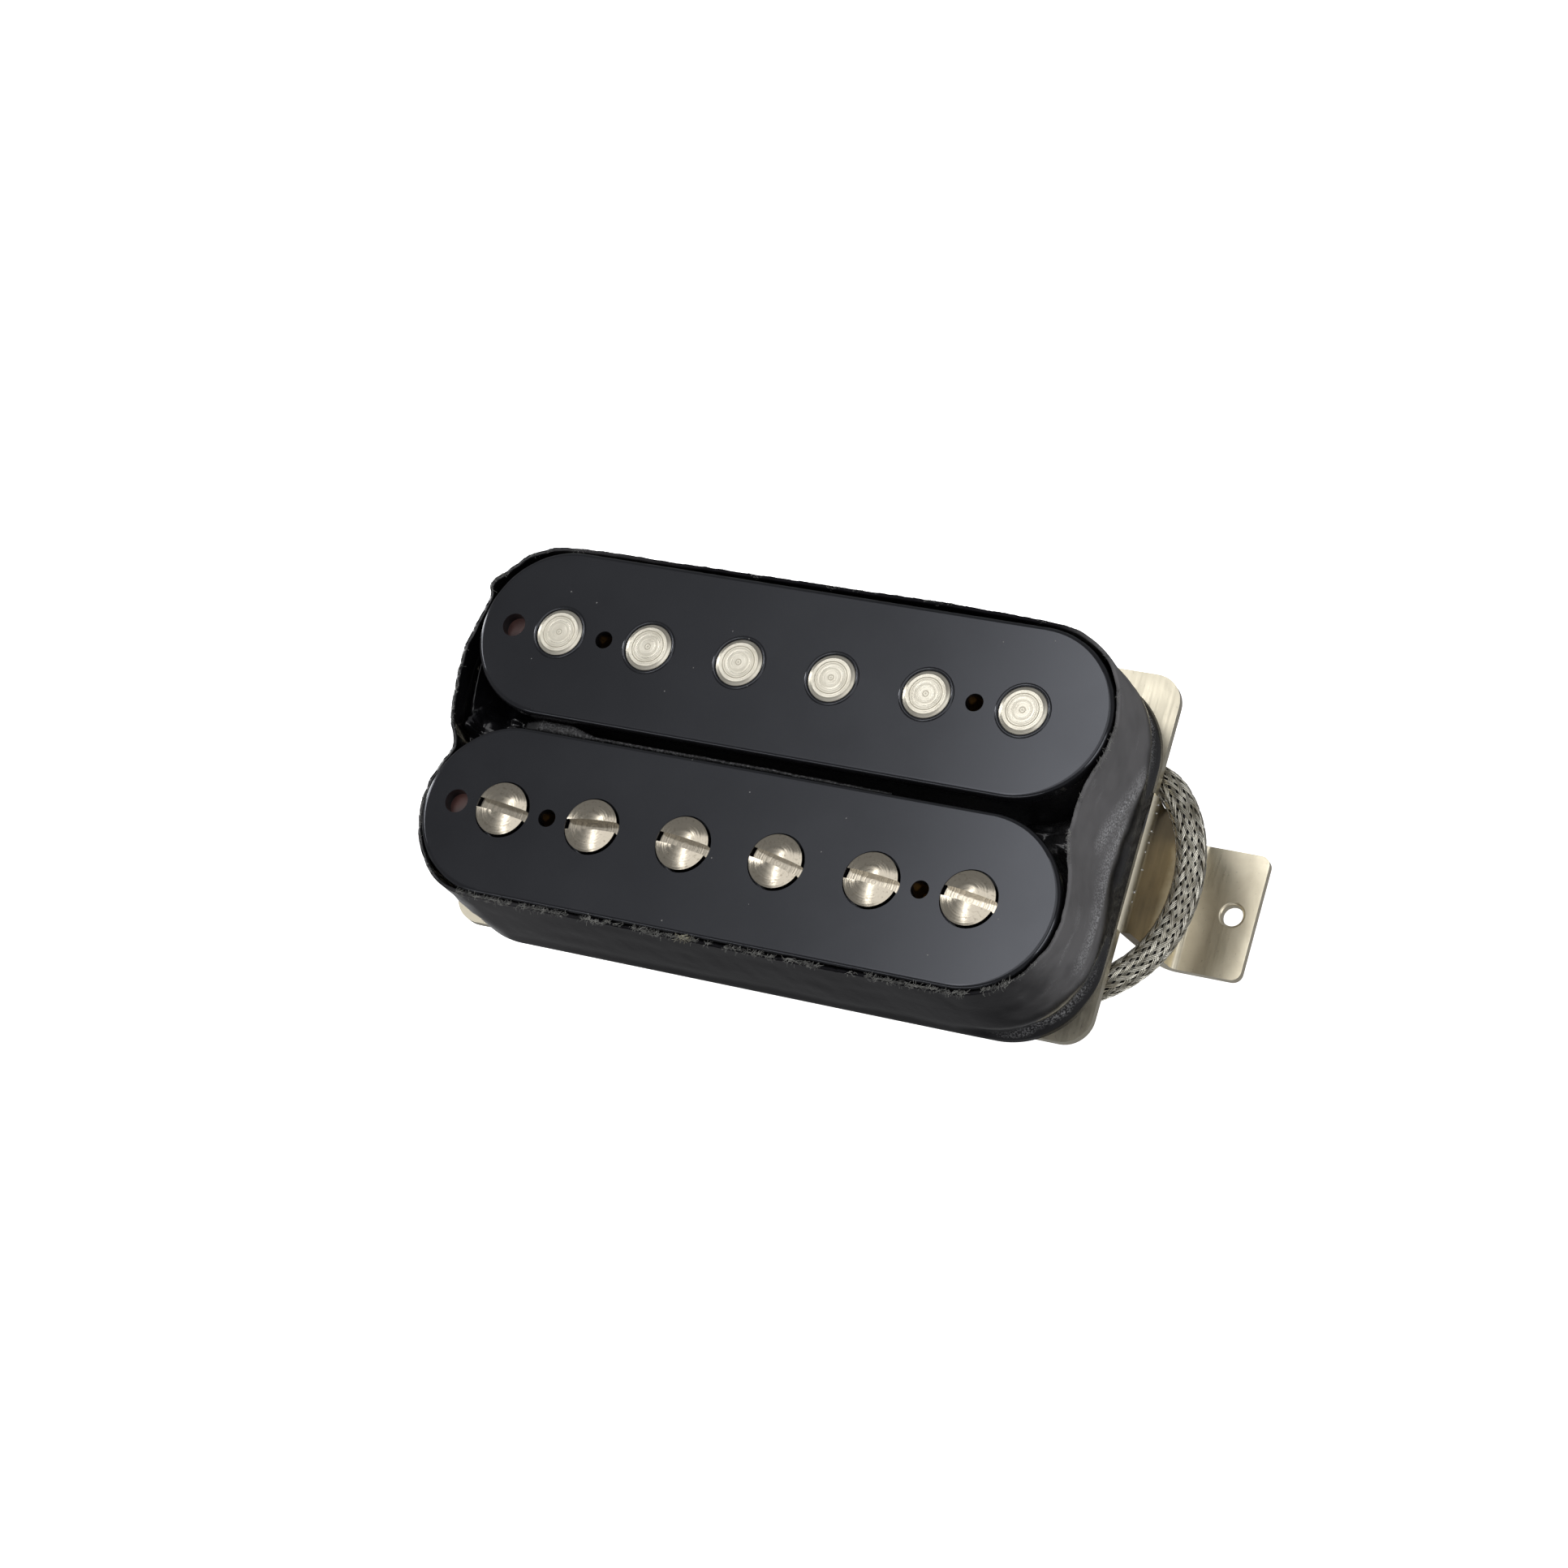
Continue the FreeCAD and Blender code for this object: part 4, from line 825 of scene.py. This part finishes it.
# On the legs near the plate the tone is painted darker and browner, with streaks along the bend:
# painted shade and painted reflections.
drifting = add(tree, MATH, [cloud, 3 * MM, place[2]], operation="MULTIPLY_ADD")
on_leg = add(tree, MAP_RANGE, [drifting, 5.0 * MM, 9.0 * MM])
on_leg = add(tree, MATH, [on_leg, below_plate], operation="MULTIPLY")
rolled_map = add(tree, "ShaderNodeMapping", {"Vector": spot, "Scale": (1.0, 0.05, 1.0)})
rolled = add(tree, NOISE, {"Vector": rolled_map, "Scale": 1 / (0.25 * MM), "Detail": 2.0})
specks = add(tree, NOISE, {"Vector": spot, "Scale": 1 / (0.35 * MM), "Detail": 3.0})
specks = add(tree, MAP_RANGE, [specks, 0.66, 0.72, 0.0, 0.2])
# Below the plate, on the legs and feet, the base colour is lighter: painted light.
bright, painted_light_below_plate, leg_painted_shade = linear("#CAC3B0"), linear("#E6DEC8"), linear("#88795C")
tone = add(tree, MIX, {0: below_plate, 6: bright, 7: painted_light_below_plate}, **COLOUR)
along_bend = add(tree, "ShaderNodeMapping", {"Vector": spot, "Scale": (1.0, 0.3, 1.0)})
painted_reflection_streaks = add(tree, NOISE, {"Vector": along_bend, "Scale": 1 / (2.0 * MM), "Detail": 3.0})
painted_reflection_streaks = add(tree, MAP_RANGE, [painted_reflection_streaks, 0.35, 0.70])
leg_painted_shade = add(tree, MIX, {0: painted_reflection_streaks, 6: linear("#6A5D45"), 7: leg_painted_shade}, **COLOUR)
tone = add(tree, MIX, {0: on_leg, 6: tone, 7: leg_painted_shade}, **COLOUR)
browned = tarnish
for share in (below_plate, 0.28):
    browned = add(tree, MATH, [browned, share], operation="MULTIPLY")
tone = add(tree, MIX, {0: browned, 6: tone, 7: linear("#86704D")}, **COLOUR)
tone = add(tree, MIX, {0: specks, 6: tone, 7: linear("#5E5240")}, **COLOUR)
gloss = add(tree, MAP_RANGE, [rolled, 0.3, 0.7, 0.26, 0.34])
gloss = add(tree, MATH, [tarnish, 0.10, gloss], operation="MULTIPLY_ADD")
lines = add(tree, BUMP, {"Strength": 0.12, "Distance": 0.01 * MM, "Height": rolled})
fill(shader, {"Base Color": tone, "Roughness": gloss, "Normal": lines, "Metallic": 1.0})

# %% [markdown]
# ## Turned faces of slugs and screws
# A slug is bare steel with its end turned flat on a lathe, so rings run round its middle. A
# screw's domed head is polished and nickel plated, and mirrors the boxes of light. Every slug
# and screw sits on the same pitch along its row, so one modulo of x gives the distance from
# each one's own middle, and one pattern of rings serves a whole row. A lathe's marks are about
# 0.1 mm apart, and are drawn at twice that, so that they show.

# %% Rings round each pole
POLE_PITCH = 9.84 * MM


def rings(tree, row, ring_pitch):
    """Object coordinates, and a noise in rings round the middle of every pole of one row."""
    spot = add(tree, "ShaderNodeTexCoord", out="Object")
    place = add(tree, "ShaderNodeSeparateXYZ", [spot]).node.outputs
    across = add(tree, MATH, [place[0], POLE_PITCH], operation="FLOORED_MODULO")
    across = add(tree, MATH, [across, POLE_PITCH / 2], operation="SUBTRACT")
    along = add(tree, MATH, [place[1], row], operation="SUBTRACT")
    flat = add(tree, "ShaderNodeCombineXYZ", [across, along])
    radius = add(tree, VECTOR_MATH, [flat], out="Value", operation="LENGTH")
    uneven = add(tree, NOISE, {"Vector": spot, "Scale": 1 / (1.5 * MM)})
    ring = add(tree, MATH, [radius, ring_pitch], operation="DIVIDE")
    ring = add(tree, MATH, [uneven, 0.5, ring], operation="MULTIPLY_ADD")
    broken = add(tree, NOISE, {"W": ring, "Scale": 1.0}, noise_dimensions="1D")
    return spot, broken


# %% Turned steel slugs
turned_steel, tree, shader = new_material("turned_bare_steel")
spot, turned = rings(tree, ROW_Y[0] * MM, 0.22 * MM)
stain = add(tree, NOISE, {"Vector": spot, "Scale": 1 / (2.2 * MM), "Detail": 3.0})
stain = add(tree, MAP_RANGE, [stain, 0.45, 0.75, 0.0, 0.5])
groove = add(tree, MAP_RANGE, [turned, 0.52, 0.66, 0.0, 0.85])
marks = add(tree, MATH, [stain, groove], operation="MAXIMUM")
gloss = add(tree, MAP_RANGE, [turned, 0.3, 0.7, 0.26, 0.42])
finish_material(
    tree, shader, marks, ("#D9D4C6", "#8C8574"), {"Roughness": gloss, "Metallic": 1.0},
    bump=(turned, 0.8, 0.03 * MM),
)

# %% Nickel plated screws
nickel_plate, tree, shader = new_material("polished_nickel_plate")
spot, turned = rings(tree, ROW_Y[1] * MM, 0.26 * MM)
scuffs = add(tree, NOISE, {"Vector": spot, "Scale": 1 / (0.3 * MM), "Detail": 3.0})
scuffs = add(tree, MAP_RANGE, [scuffs, 0.55, 0.72, 0.0, 0.5])
gloss = add(tree, MAP_RANGE, [turned, 0.35, 0.65, 0.09, 0.20])
gloss = add(tree, MATH, [scuffs, 0.12, gloss], operation="MULTIPLY_ADD")
finish_material(
    tree, shader, scuffs, ("#B5AD9E", "#857B6B"), {"Roughness": gloss, "Metallic": 1.0},
    bump=(turned, 0.4, 0.02 * MM),
)

# %% [markdown]
# ## Finishes that hardly show from above
# The winding is fine enamelled copper wire, red-brown, laid side by side. Its real wire is
# 0.06 mm thick, and is drawn three times as coarse, so that the turns show in the bobbins' end
# holes. The magnet is a cast bar, ground on its faces. The spacer is maple, and the four bobbin
# screws are brass. The two loose wires have a plastic coat. The lead's tip is bare tinned wire,
# and its hank is tied with a paper-covered wire. Each pattern is scaled from its own grain.

# %% Enamelled winding wire
winding, tree, shader = new_material("enamelled_copper_wire")
spot = add(tree, "ShaderNodeTexCoord", out="Object")
place = add(tree, "ShaderNodeSeparateXYZ", [spot]).node.outputs
wander = add(tree, NOISE, {"Vector": spot, "Scale": 1 / (4.0 * MM), "Detail": 2.0})
wander = add(tree, MATH, [wander, 0.35 * MM, place[2]], operation="MULTIPLY_ADD")
turns = add(tree, MATH, [wander, math.tau / (0.18 * MM)], operation="MULTIPLY")
turns = add(tree, MATH, [turns], operation="SINE")
# Red-brown on the crests of the turns and near black between them: the dark is painted shade
# between the turns.
crest = add(tree, MAP_RANGE, [turns, -1.0, 1.0])
finish_material(
    tree, shader, crest, ("#1E0F0F", "#5E3C37"), {"Roughness": 0.3},
    bump=(turns, 0.6, 0.05 * MM),
)

# %% Maple, with grain along the strip
maple, tree, shader = new_material("maple_strip")
spot = add(tree, "ShaderNodeTexCoord", out="Object")
grain_map = add(tree, "ShaderNodeMapping", {"Vector": spot, "Scale": (0.06, 1.0, 1.0)})
grain = add(
    tree, NOISE, {"Vector": grain_map, "Scale": 1 / (0.7 * MM), "Detail": 4.0, "Distortion": 0.3}
)
finish_material(
    tree, shader, grain, ("#E2C592", "#B98F57"), {"Roughness": 0.62},
    bump=(grain, 0.3, 0.03 * MM),
)


# %% Plain finishes: two tones mixed by a grain, a gloss, and a bump as deep as the grain
def grained(name, tones, grain_size, roughness, metal, depth):
    """One finish whose colour and gloss vary with a grain of a real size."""
    material, tree, shader = new_material(name)
    spot = add(tree, "ShaderNodeTexCoord", out="Object")
    grain = add(tree, NOISE, {"Vector": spot, "Scale": 1 / grain_size, "Detail": 4.0})
    grain = add(tree, MAP_RANGE, [grain, 0.3, 0.7])
    gloss = add(tree, MAP_RANGE, {0: grain, 3: roughness - 0.05, 4: roughness + 0.08})
    values = {"Roughness": gloss, "Metallic": metal}
    finish_material(tree, shader, grain, tones, values, bump=(grain, 0.5, depth))
    return material


magnet = grained("cast_ground_magnet", ("#6B6A68", "#474644"), 0.6 * MM, 0.5, 1.0, 0.02 * MM)
brass = grained("turned_brass", ("#E0A548", "#A87430"), 1.2 * MM, 0.28, 0.7, 0.01 * MM)
iron = grained("drawn_soft_iron", ("#8F8D8A", "#6A6866"), 0.8 * MM, 0.42, 1.0, 0.02 * MM)
solder = grained("flowed_solder", ("#C9C8C4", "#8E8B82"), 0.7 * MM, 0.3, 1.0, 0.06 * MM)
wire_coat = grained("soft_wire_insulation", ("#1C1B1C", "#2A2829"), 0.5 * MM, 0.5, 0.0, 0.01 * MM)
tie_paper = grained("paper_covered_tie", ("#D8CFBB", "#B9AD94"), 0.4 * MM, 0.75, 0.0, 0.03 * MM)
coil_cloth = grained("thin_coil_tape", ("#1A191B", "#262427"), 0.25 * MM, 0.5, 0.0, 0.02 * MM)
print("finishes:", len(bpy.data.materials))

# %% Dress the solids
DRESS = {
    nickel_silver: ["baseplate"],
    black_moulding: ["slug_bobbin", "screw_bobbin"],
    turned_steel: ["slug_poles"],
    nickel_plate: [f"pole_screw_{number}" for number in range(1, 7)],
    winding: ["slug_coil", "screw_coil"],
    coil_cloth: ["slug_coil_tape", "screw_coil_tape"],
    iron: ["keeper_bar"],
    magnet: ["bar_magnet"],
    maple: ["wood_spacer"],
    brass: ["bobbin_screws"],
    wire_coat: ["hot_wire", "link_wire"],
    solder: ["cable_solder"],
    tinned: ["lead_tip"],
    core_plastic: ["lead_core"],
    tie_paper: ["hank_tie"],
}
for finish, names in DRESS.items():
    for name in names:
        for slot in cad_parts[name].material_slots:
            slot.material = finish
dressed = sum(len(names) for names in DRESS.values())
print("solids dressed:", dressed, "of", len(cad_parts))

# %% [markdown]
# ## Folds in the two hollows
# Between the round ends of the bobbins the tape spans a hollow, and its loose end is pushed down
# into it, creased and full of wax. Each hollow gets one sheet between the tape's inner face and
# the bobbins. Its height is a slope plus sharp folds, which come from the absolute value of a
# noise: where the noise crosses zero, the surface has a crease. One flap stands up higher. The
# sheet's inner rim is tucked under the bobbins' flanges, and a tongue of it goes between them,
# so that no light shows through.

# %% Folded sheets in the hollows
SHEET_WALL = Vector((0, 0, -0.25))
HOLLOW_Y = (-9.0, 6.6)
HOLLOW_ROWS, HOLLOW_STEPS = 74, 34
TONGUE_HALF, TONGUE = 0.6, 2.2
FLAP_WIDTH, FOLDS_TOP, SHEET_GAP = 0.4, 26.6, 0.35


def thick_sheet(name, grid, wall, material):
    """A closed sheet from rows of points, with a second layer set off from it by a wall."""
    rows, columns = len(grid), len(grid[0])
    top = [point for row in grid for point in row]
    under = [point + wall for point in top]
    count = len(top)
    faces = []
    for r in range(rows - 1):
        for c in range(columns - 1):
            a, b = r * columns + c, r * columns + c + 1
            faces.append((a, b, b + columns, a + columns))
            faces.append((a + count, a + columns + count, b + columns + count, b + count))
    rim = [r * columns for r in range(rows)]
    rim += [(rows - 1) * columns + c for c in range(1, columns)]
    rim += [r * columns + columns - 1 for r in range(rows - 2, -1, -1)]
    rim += [c for c in range(columns - 2, 0, -1)]
    for a, b in zip(rim, rim[1:] + rim[:1]):
        faces.append((a, b, b + count, a + count))
    sheet = new_mesh_object(name, [point * MM for point in top + under], faces)
    mesh = bmesh.new()
    mesh.from_mesh(sheet.data)
    bmesh.ops.recalc_face_normals(mesh, faces=mesh.faces)
    mesh.to_mesh(sheet.data)
    mesh.free()
    for face in sheet.data.polygons:
        face.use_smooth = True
    sheet.data.materials.append(material)
    area = sum(face.area for face in sheet.data.polygons) / 2
    print(name, "faces:", len(faces), "area, mm2:", round(area / MM**2))
    return sheet, area


def tape_inside(y, side):
    """How far out the tape's inner face is at this y, on the left (-1) or right (+1)."""
    near = [point for point in edge_line if point.x * side > 20]
    closest = min(near, key=lambda point: abs(point.y - y))
    return abs(closest.x) - TAPE_WALL - SHEET_GAP


def bobbins_outside(y, cut_round):
    """How far out two round ends of this radius reach at this y."""
    reach = [END_X + math.sqrt(max(cut_round**2 - (y - row) ** 2, 0.0)) for row in ROW_Y]
    return max(reach)


def hollow_sheet(name, side, cut_round, low, at_wall, fold, seed, flap):
    """The folds in one hollow; a flap is a sharp fold from place to place, with its height."""
    grid = []
    flap_start, flap_end, flap_height = Vector(flap[0]), Vector(flap[1]), flap[2]
    line = flap_end - flap_start
    for number in range(HOLLOW_ROWS):
        y = HOLLOW_Y[0] + (HOLLOW_Y[1] - HOLLOW_Y[0]) * number / (HOLLOW_ROWS - 1)
        inner, outer = bobbins_outside(y, cut_round), tape_inside(y, side)
        if abs(y - MIDDLE_Y) < TONGUE_HALF:
            inner -= TONGUE
        row = []
        for step in range(HOLLOW_STEPS):
            share = step / (HOLLOW_STEPS - 1)
            x = inner + (max(outer, inner + 0.3) - inner) * share
            crease = abs(noise_at((x, y, seed), (0.33, 0.20, 1))) * 2.2
            crease += 0.35 * noise_at((x, y, seed + 5), (1.1, 0.8, 1))
            z = low + (at_wall - low) * share**1.6 + fold * crease * math.sin(math.pi * share)
            from_start = Vector((x, y)) - flap_start
            along = between(from_start.dot(line), 0.0, line.length_squared)
            off_flap = (from_start - line * along).length
            z += flap_height * math.exp(-((off_flap / FLAP_WIDTH) ** 2)) * (0.55 + 0.45 * along)
            row.append(Vector((x * side, y, min(z, FOLDS_TOP))))
        grid.append(row)
    return thick_sheet(name, grid, SHEET_WALL, thick_wax)


left_folds, left_area = hollow_sheet(
    "left_tape_folds", -1, 7.9, 20.0, 25.0, 1.5, 2.0, flap=((31.6, 1.6), (32.5, -2.2), 2.4)
)
right_folds, right_area = hollow_sheet(
    "right_tape_folds", 1, 7.9, 19.0, 20.5, 0.8, 8.0, flap=((29.7, -2.8), (31.8, -3.8), 6.5)
)

# %% [markdown]
# ## Strip between the bobbins
# A strip of cloth tape stands between the two coils to keep them apart. From above only its rough
# top edge shows, as a broken pale thread along one side of the gap, and at the left end the top
# is folded over and fills the gap with a dusty patch. Each row of points runs up the strip, and
# its last part, past STANDING, is the turned edge. The dust is a fine noise near the top.

# %% Strip's rows of points
STRIP_X, STRIP_Y, STRIP_LOW, STRIP_TOP = (-26.6, 13.4), -1.62, 17.4, 26.9
STRIP_ROWS, STRIP_STEPS = 150, 24
STANDING = 0.88
FOLDED, DROPPED = (-18.0, -21.0), (-24.2, -26.6)
strip_grid = []
for number in range(STRIP_ROWS):
    x = STRIP_X[0] + (STRIP_X[1] - STRIP_X[0]) * number / (STRIP_ROWS - 1)
    folded, dropped = between(x, *FOLDED), between(x, *DROPPED)
    top = STRIP_TOP + 0.25 * noise_at((x, 1, 0), (0.4, 1, 1)) - 0.05 * max(x, 0) - 1.6 * dropped
    swing = 0.18 * noise_at((x, 7, 0), (0.15, 1, 1))
    row = []
    for step in range(STRIP_STEPS):
        share = step / (STRIP_STEPS - 1)
        over = max(share - STANDING, 0.0) / (1 - STANDING)
        y = STRIP_Y + swing * math.sin(math.pi * share) + over * (0.10 + 0.85 * folded)
        z = STRIP_LOW + (top - STRIP_LOW) * min(share / STANDING, 1.0)
        z += over * (0.18 + 0.12 * noise_at((x, 2, 0), (2.5, 1, 1)) - 0.25 * folded)
        row.append(Vector((x, y, z)))
    strip_grid.append(row)

# %% Dusty cloth tape, and the strip made of it
rough_tape, tree, shader = new_material("dusty_cloth_tape")
spot = add(tree, "ShaderNodeTexCoord", out="Object")
place = add(tree, "ShaderNodeSeparateXYZ", [spot]).node.outputs
lint = add(
    tree, NOISE, {"Vector": spot, "Scale": 1 / (0.22 * MM), "Detail": 4.0, "Roughness": 0.7}
)
lint = add(tree, MAP_RANGE, [lint, 0.48, 0.62])
fade_left = add(tree, MAP_RANGE, [place[0], -14 * MM, -22 * MM, 0.4, 0.28])
near_top = add(tree, MAP_RANGE, [place[2], 26.2 * MM, 26.8 * MM])
for share in (fade_left, near_top):
    lint = add(tree, MATH, [lint, share], operation="MULTIPLY")
finish_material(
    tree, shader, lint, ("#121214", "#A0A0A2"), {"Roughness": 0.6}, bump=(lint, 0.8, 0.08 * MM)
)
strip, strip_area = thick_sheet(
    "coil_divider_tape", strip_grid, Vector((0, 0.2, -0.06)), rough_tape
)

# %% [markdown]
# ## Frayed edge
# Cut by hand, the cloth frays: short pale fibres stand up along its top edge, thick in a few
# tufts at the front and sparse elsewhere. A tree puts points on the edge, keeps those where a
# noise is high, and stands one of four bent strands on each, turned at random. Only a strand's
# own few faces repeat, so a few thousand of them stay light.

# %% Fray tree: where the strands stand
fray, given = new_tree(
    "fray",
    {
        "Count": "Int", "Threshold": "Float", "Clump": "Float", "Length": "Float",
        "Thickness": "Float", "Seed": "Int",
    },
)
RANDOM = "FunctionNodeRandomValue"
line = add(fray, LINE, [given["Geometry"]])
points = add(fray, "GeometryNodeCurveToPoints", {0: line, "Count": given["Count"]}).node.outputs
spot = add(fray, "GeometryNodeInputPosition")
per_metre = add(fray, MATH, [1.0, given["Clump"]], operation="DIVIDE")
clump = add(fray, NOISE, {"Vector": spot, "Scale": per_metre, "Detail": 3.0})
chosen = add(fray, MATH, [clump, given["Threshold"]], operation="GREATER_THAN")
along = add(fray, "FunctionNodeAlignRotationToVector", {"Vector": points["Tangent"]}, axis="X")
turn = add(
    fray, RANDOM, {0: (-1.2, -1.1, -0.7), 1: (1.2, -0.05, 0.7), "Seed": given["Seed"]},
    data_type="FLOAT_VECTOR",
)
turn = add(fray, "FunctionNodeEulerToRotation", [turn])
along = add(fray, "FunctionNodeRotateRotation", [along, turn], rotation_space="LOCAL")

# %% Fray tree: four bent strands
strands = add(fray, "GeometryNodeGeometryToInstance").node
BENDS = [
    ((0.5, 0.1, 0.35), (0.9, 0.5, 0.2)), ((0.4, -0.3, 0.5), (1.0, 0.1, 0.0)),
    ((-0.5, 0.2, 0.4), (-0.8, -0.4, 0.3)), ((-0.3, -0.2, 0.2), (-1.0, 0.3, 0.1)),
]
for middle, end in BENDS:
    strand = add(
        fray, "GeometryNodeCurveQuadraticBezier",
        {"Resolution": 6, "Start": (0, 0, 0), "Middle": middle, "End": end}
    )
    fray.links.new(strand, strands.inputs[0])
sizes = add(fray, RANDOM, {2: 0.35, 3: 1.25, "Seed": given["Seed"]}, out=1, data_type="FLOAT")
sizes = add(fray, MATH, [sizes, given["Length"]], operation="MULTIPLY")
standing = add(
    fray, "GeometryNodeInstanceOnPoints",
    {
        "Points": points["Points"], "Selection": chosen, "Instance": strands.outputs[0],
        "Pick Instance": True, "Rotation": along, "Scale": sizes,
    },
)
real = add(fray, "GeometryNodeRealizeInstances", [standing])
spot = add(fray, "GeometryNodeInputPosition")
curl = add(fray, NOISE, {"Vector": spot, "Scale": 1 / (0.5 * MM)}, out="Color")
curl = add(fray, VECTOR_MATH, [curl, (0.5, 0.5, 0.5)], operation="SUBTRACT")
curl = add(fray, VECTOR_MATH, {0: curl, "Scale": 0.55 * MM}, operation="SCALE")
curled = add(fray, "GeometryNodeSetPosition", {0: real, "Offset": curl})
radius = add(fray, MATH, [given["Thickness"], 0.5], operation="MULTIPLY")
ring = add(fray, CIRCLE, {"Resolution": 3, "Radius": radius})
tube = add(fray, TUBE, {0: curled, "Profile Curve": ring, "Fill Caps": True})
tube = add(fray, SMOOTH, [tube])
finish_tree(fray, tube, given)

# %% [markdown]
# ## Cotton lint
# The fibres are cotton from the inside of the tape: grey where the black dye has run into them,
# and undyed cream in the one big tuft at the front. They have no gloss.

# %% Cotton lint, and fray on the tape's edge
cotton = grained("grey_cotton_lint", ("#A6A6A1", "#3C3C3D"), 0.9 * MM, 0.85, 0.0, 0.01 * MM)
cream_cotton = grained(
    "undyed_cotton_lint", ("#DAD5BC", "#6E6A5E"), 0.7 * MM, 0.85, 0.0, 0.01 * MM
)


def edge_points(first, last):
    """Points on the middle of the tape's top edge, between two of its columns."""
    found = []
    for column in range(first, last):
        outer = tape_point(column % COLUMNS, 1.0, 0.0)
        inner = tape_point(column % COLUMNS, 1.0, TAPE_WALL)
        found.append(outer.lerp(inner, 0.4))
    return found


def column_at(x, y):
    """The column of the tape's edge that is nearest to a place."""
    return min(range(COLUMNS), key=lambda c: (edge_line[c] - Vector((x, y))).length)


front_first, front_last = column_at(-27, -19.5), column_at(31, -17.3)
if front_last < front_first:
    front_last += COLUMNS
fluff = {"Length": 0.55 * MM, "Thickness": 0.032 * MM, "Material": cotton}
front_fray = bake(
    "front_fray", edge_points(front_first, front_last), fray,
    {**fluff, "Count": 2600, "Threshold": 0.41, "Clump": 2.2 * MM, "Seed": 3},
)
rest_fray = bake(
    "rest_fray", edge_points(front_last, front_first + COLUMNS), fray,
    {**fluff, "Count": 2400, "Threshold": 0.54, "Clump": 3.0 * MM, "Seed": 8, "Length": 0.45 * MM},
)
tuft_first, tuft_last = column_at(-2.8, -19.7), column_at(-1.3, -19.7)
front_tuft = bake(
    "front_tuft", edge_points(tuft_first, tuft_last), fray,
    {
        **fluff, "Count": 90, "Threshold": 0.2, "Clump": 1.0 * MM, "Seed": 5, "Length": 0.6 * MM,
        "Material": cream_cotton,
    },
)

# %% [markdown]
# ## Small marks of making
# Each slug was pressed through the moulding, which raised a thin lip round it. Beads of flux and
# solder sit along the bend of the leg. Both repeat one small shape, so each is a tree that stands
# an instance on points.

# %% Lips round the slugs
lips, given = new_tree("lips", {"Radius": "Float", "Width": "Float", "Height": "Float"})
hoop = add(lips, CIRCLE, {"Resolution": 40, "Radius": given["Radius"]})
section = add(lips, CIRCLE, {"Resolution": 8, "Radius": 0.5})
squash = add(lips, "ShaderNodeCombineXYZ", [given["Width"], given["Height"], 1.0])
section = add(lips, "GeometryNodeTransform", {0: section, "Scale": squash})
hoop = add(lips, TUBE, {0: hoop, "Profile Curve": section})
hoop = add(lips, SMOOTH, [hoop])
dots = add(lips, "GeometryNodeMeshToPoints", [given["Geometry"]])
standing = add(lips, "GeometryNodeInstanceOnPoints", {"Points": dots, "Instance": hoop})
finish_tree(lips, standing, given)
SLUG_FACE = 28.41 * MM
slug_places = [
    Vector((POLE_PITCH * (number - 2.5), ROW_Y[0] * MM, SLUG_FACE)) for number in range(6)
]
slug_lips = bake(
    "slug_lips", slug_places, lips,
    {"Radius": 2.62 * MM, "Width": 0.34 * MM, "Height": 0.16 * MM, "Material": black_moulding},
)

# %% Beads along the leg's bend
beads, given = new_tree("beads", {"Count": "Int", "Size": "Float", "Seed": "Int"})
line = add(beads, LINE, [given["Geometry"]])
points = add(beads, "GeometryNodeCurveToPoints", {0: line, "Count": given["Count"]}).node.outputs
bead = add(beads, "GeometryNodeMeshIcoSphere", {"Radius": 0.5, "Subdivisions": 2})
bead = add(beads, SMOOTH, [bead])
shape = add(
    beads, RANDOM, {0: (0.25, 0.25, 0.2), 1: (1.0, 1.0, 0.6), "Seed": given["Seed"]},
    data_type="FLOAT_VECTOR",
)
shape = add(beads, VECTOR_MATH, {0: shape, "Scale": given["Size"]}, operation="SCALE")
kept_ones = add(
    beads, RANDOM, {"Probability": 0.45, "Seed": given["Seed"]}, out=3, data_type="BOOLEAN"
)
aside = add(
    beads, RANDOM,
    {0: (0.0, -0.3 * MM, -0.5 * MM), 1: (0.12 * MM, 0.3 * MM, 0.2 * MM), "Seed": given["Seed"]},
    data_type="FLOAT_VECTOR",
)
moved = add(beads, "GeometryNodeSetPosition", {0: points["Points"], "Offset": aside})
standing = add(
    beads, "GeometryNodeInstanceOnPoints",
    {"Points": moved, "Selection": kept_ones, "Instance": bead, "Scale": shape},
)
finish_tree(beads, standing, given)
LEG_X, LEG_BEND = 34.40, 12.6
leg_line = [Vector((LEG_X, y, LEG_BEND)) * MM for y in (-6.2, -3.0, 0.0, 3.0, 6.2)]
flux_beads = bake(
    "flux_beads", leg_line, beads,
    {"Count": 46, "Size": 0.4 * MM, "Seed": 4, "Material": solder},
)

# %% [markdown]
# ## Attach to the pickup's body
# Each piece rides on the pickup's body. The CAD's outer tape, lead cable and lead hank are hidden,
# since the pieces made here replace them.

# %% Attach pieces, and hide the solids they replace
PIECES = {
    "braid": [lead, lead_braid, hank_braid],
    "black_tape": [tape, left_folds, right_folds, strip, front_fray, rest_fray, front_tuft],
    "black_moulding": [slug_lips],
    "solder": [flux_beads],
}
for slot_name, members in PIECES.items():
    for piece in members:
        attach(piece, "pickup")
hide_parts("outer_tape")
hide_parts("lead_cable", "lead_hank")
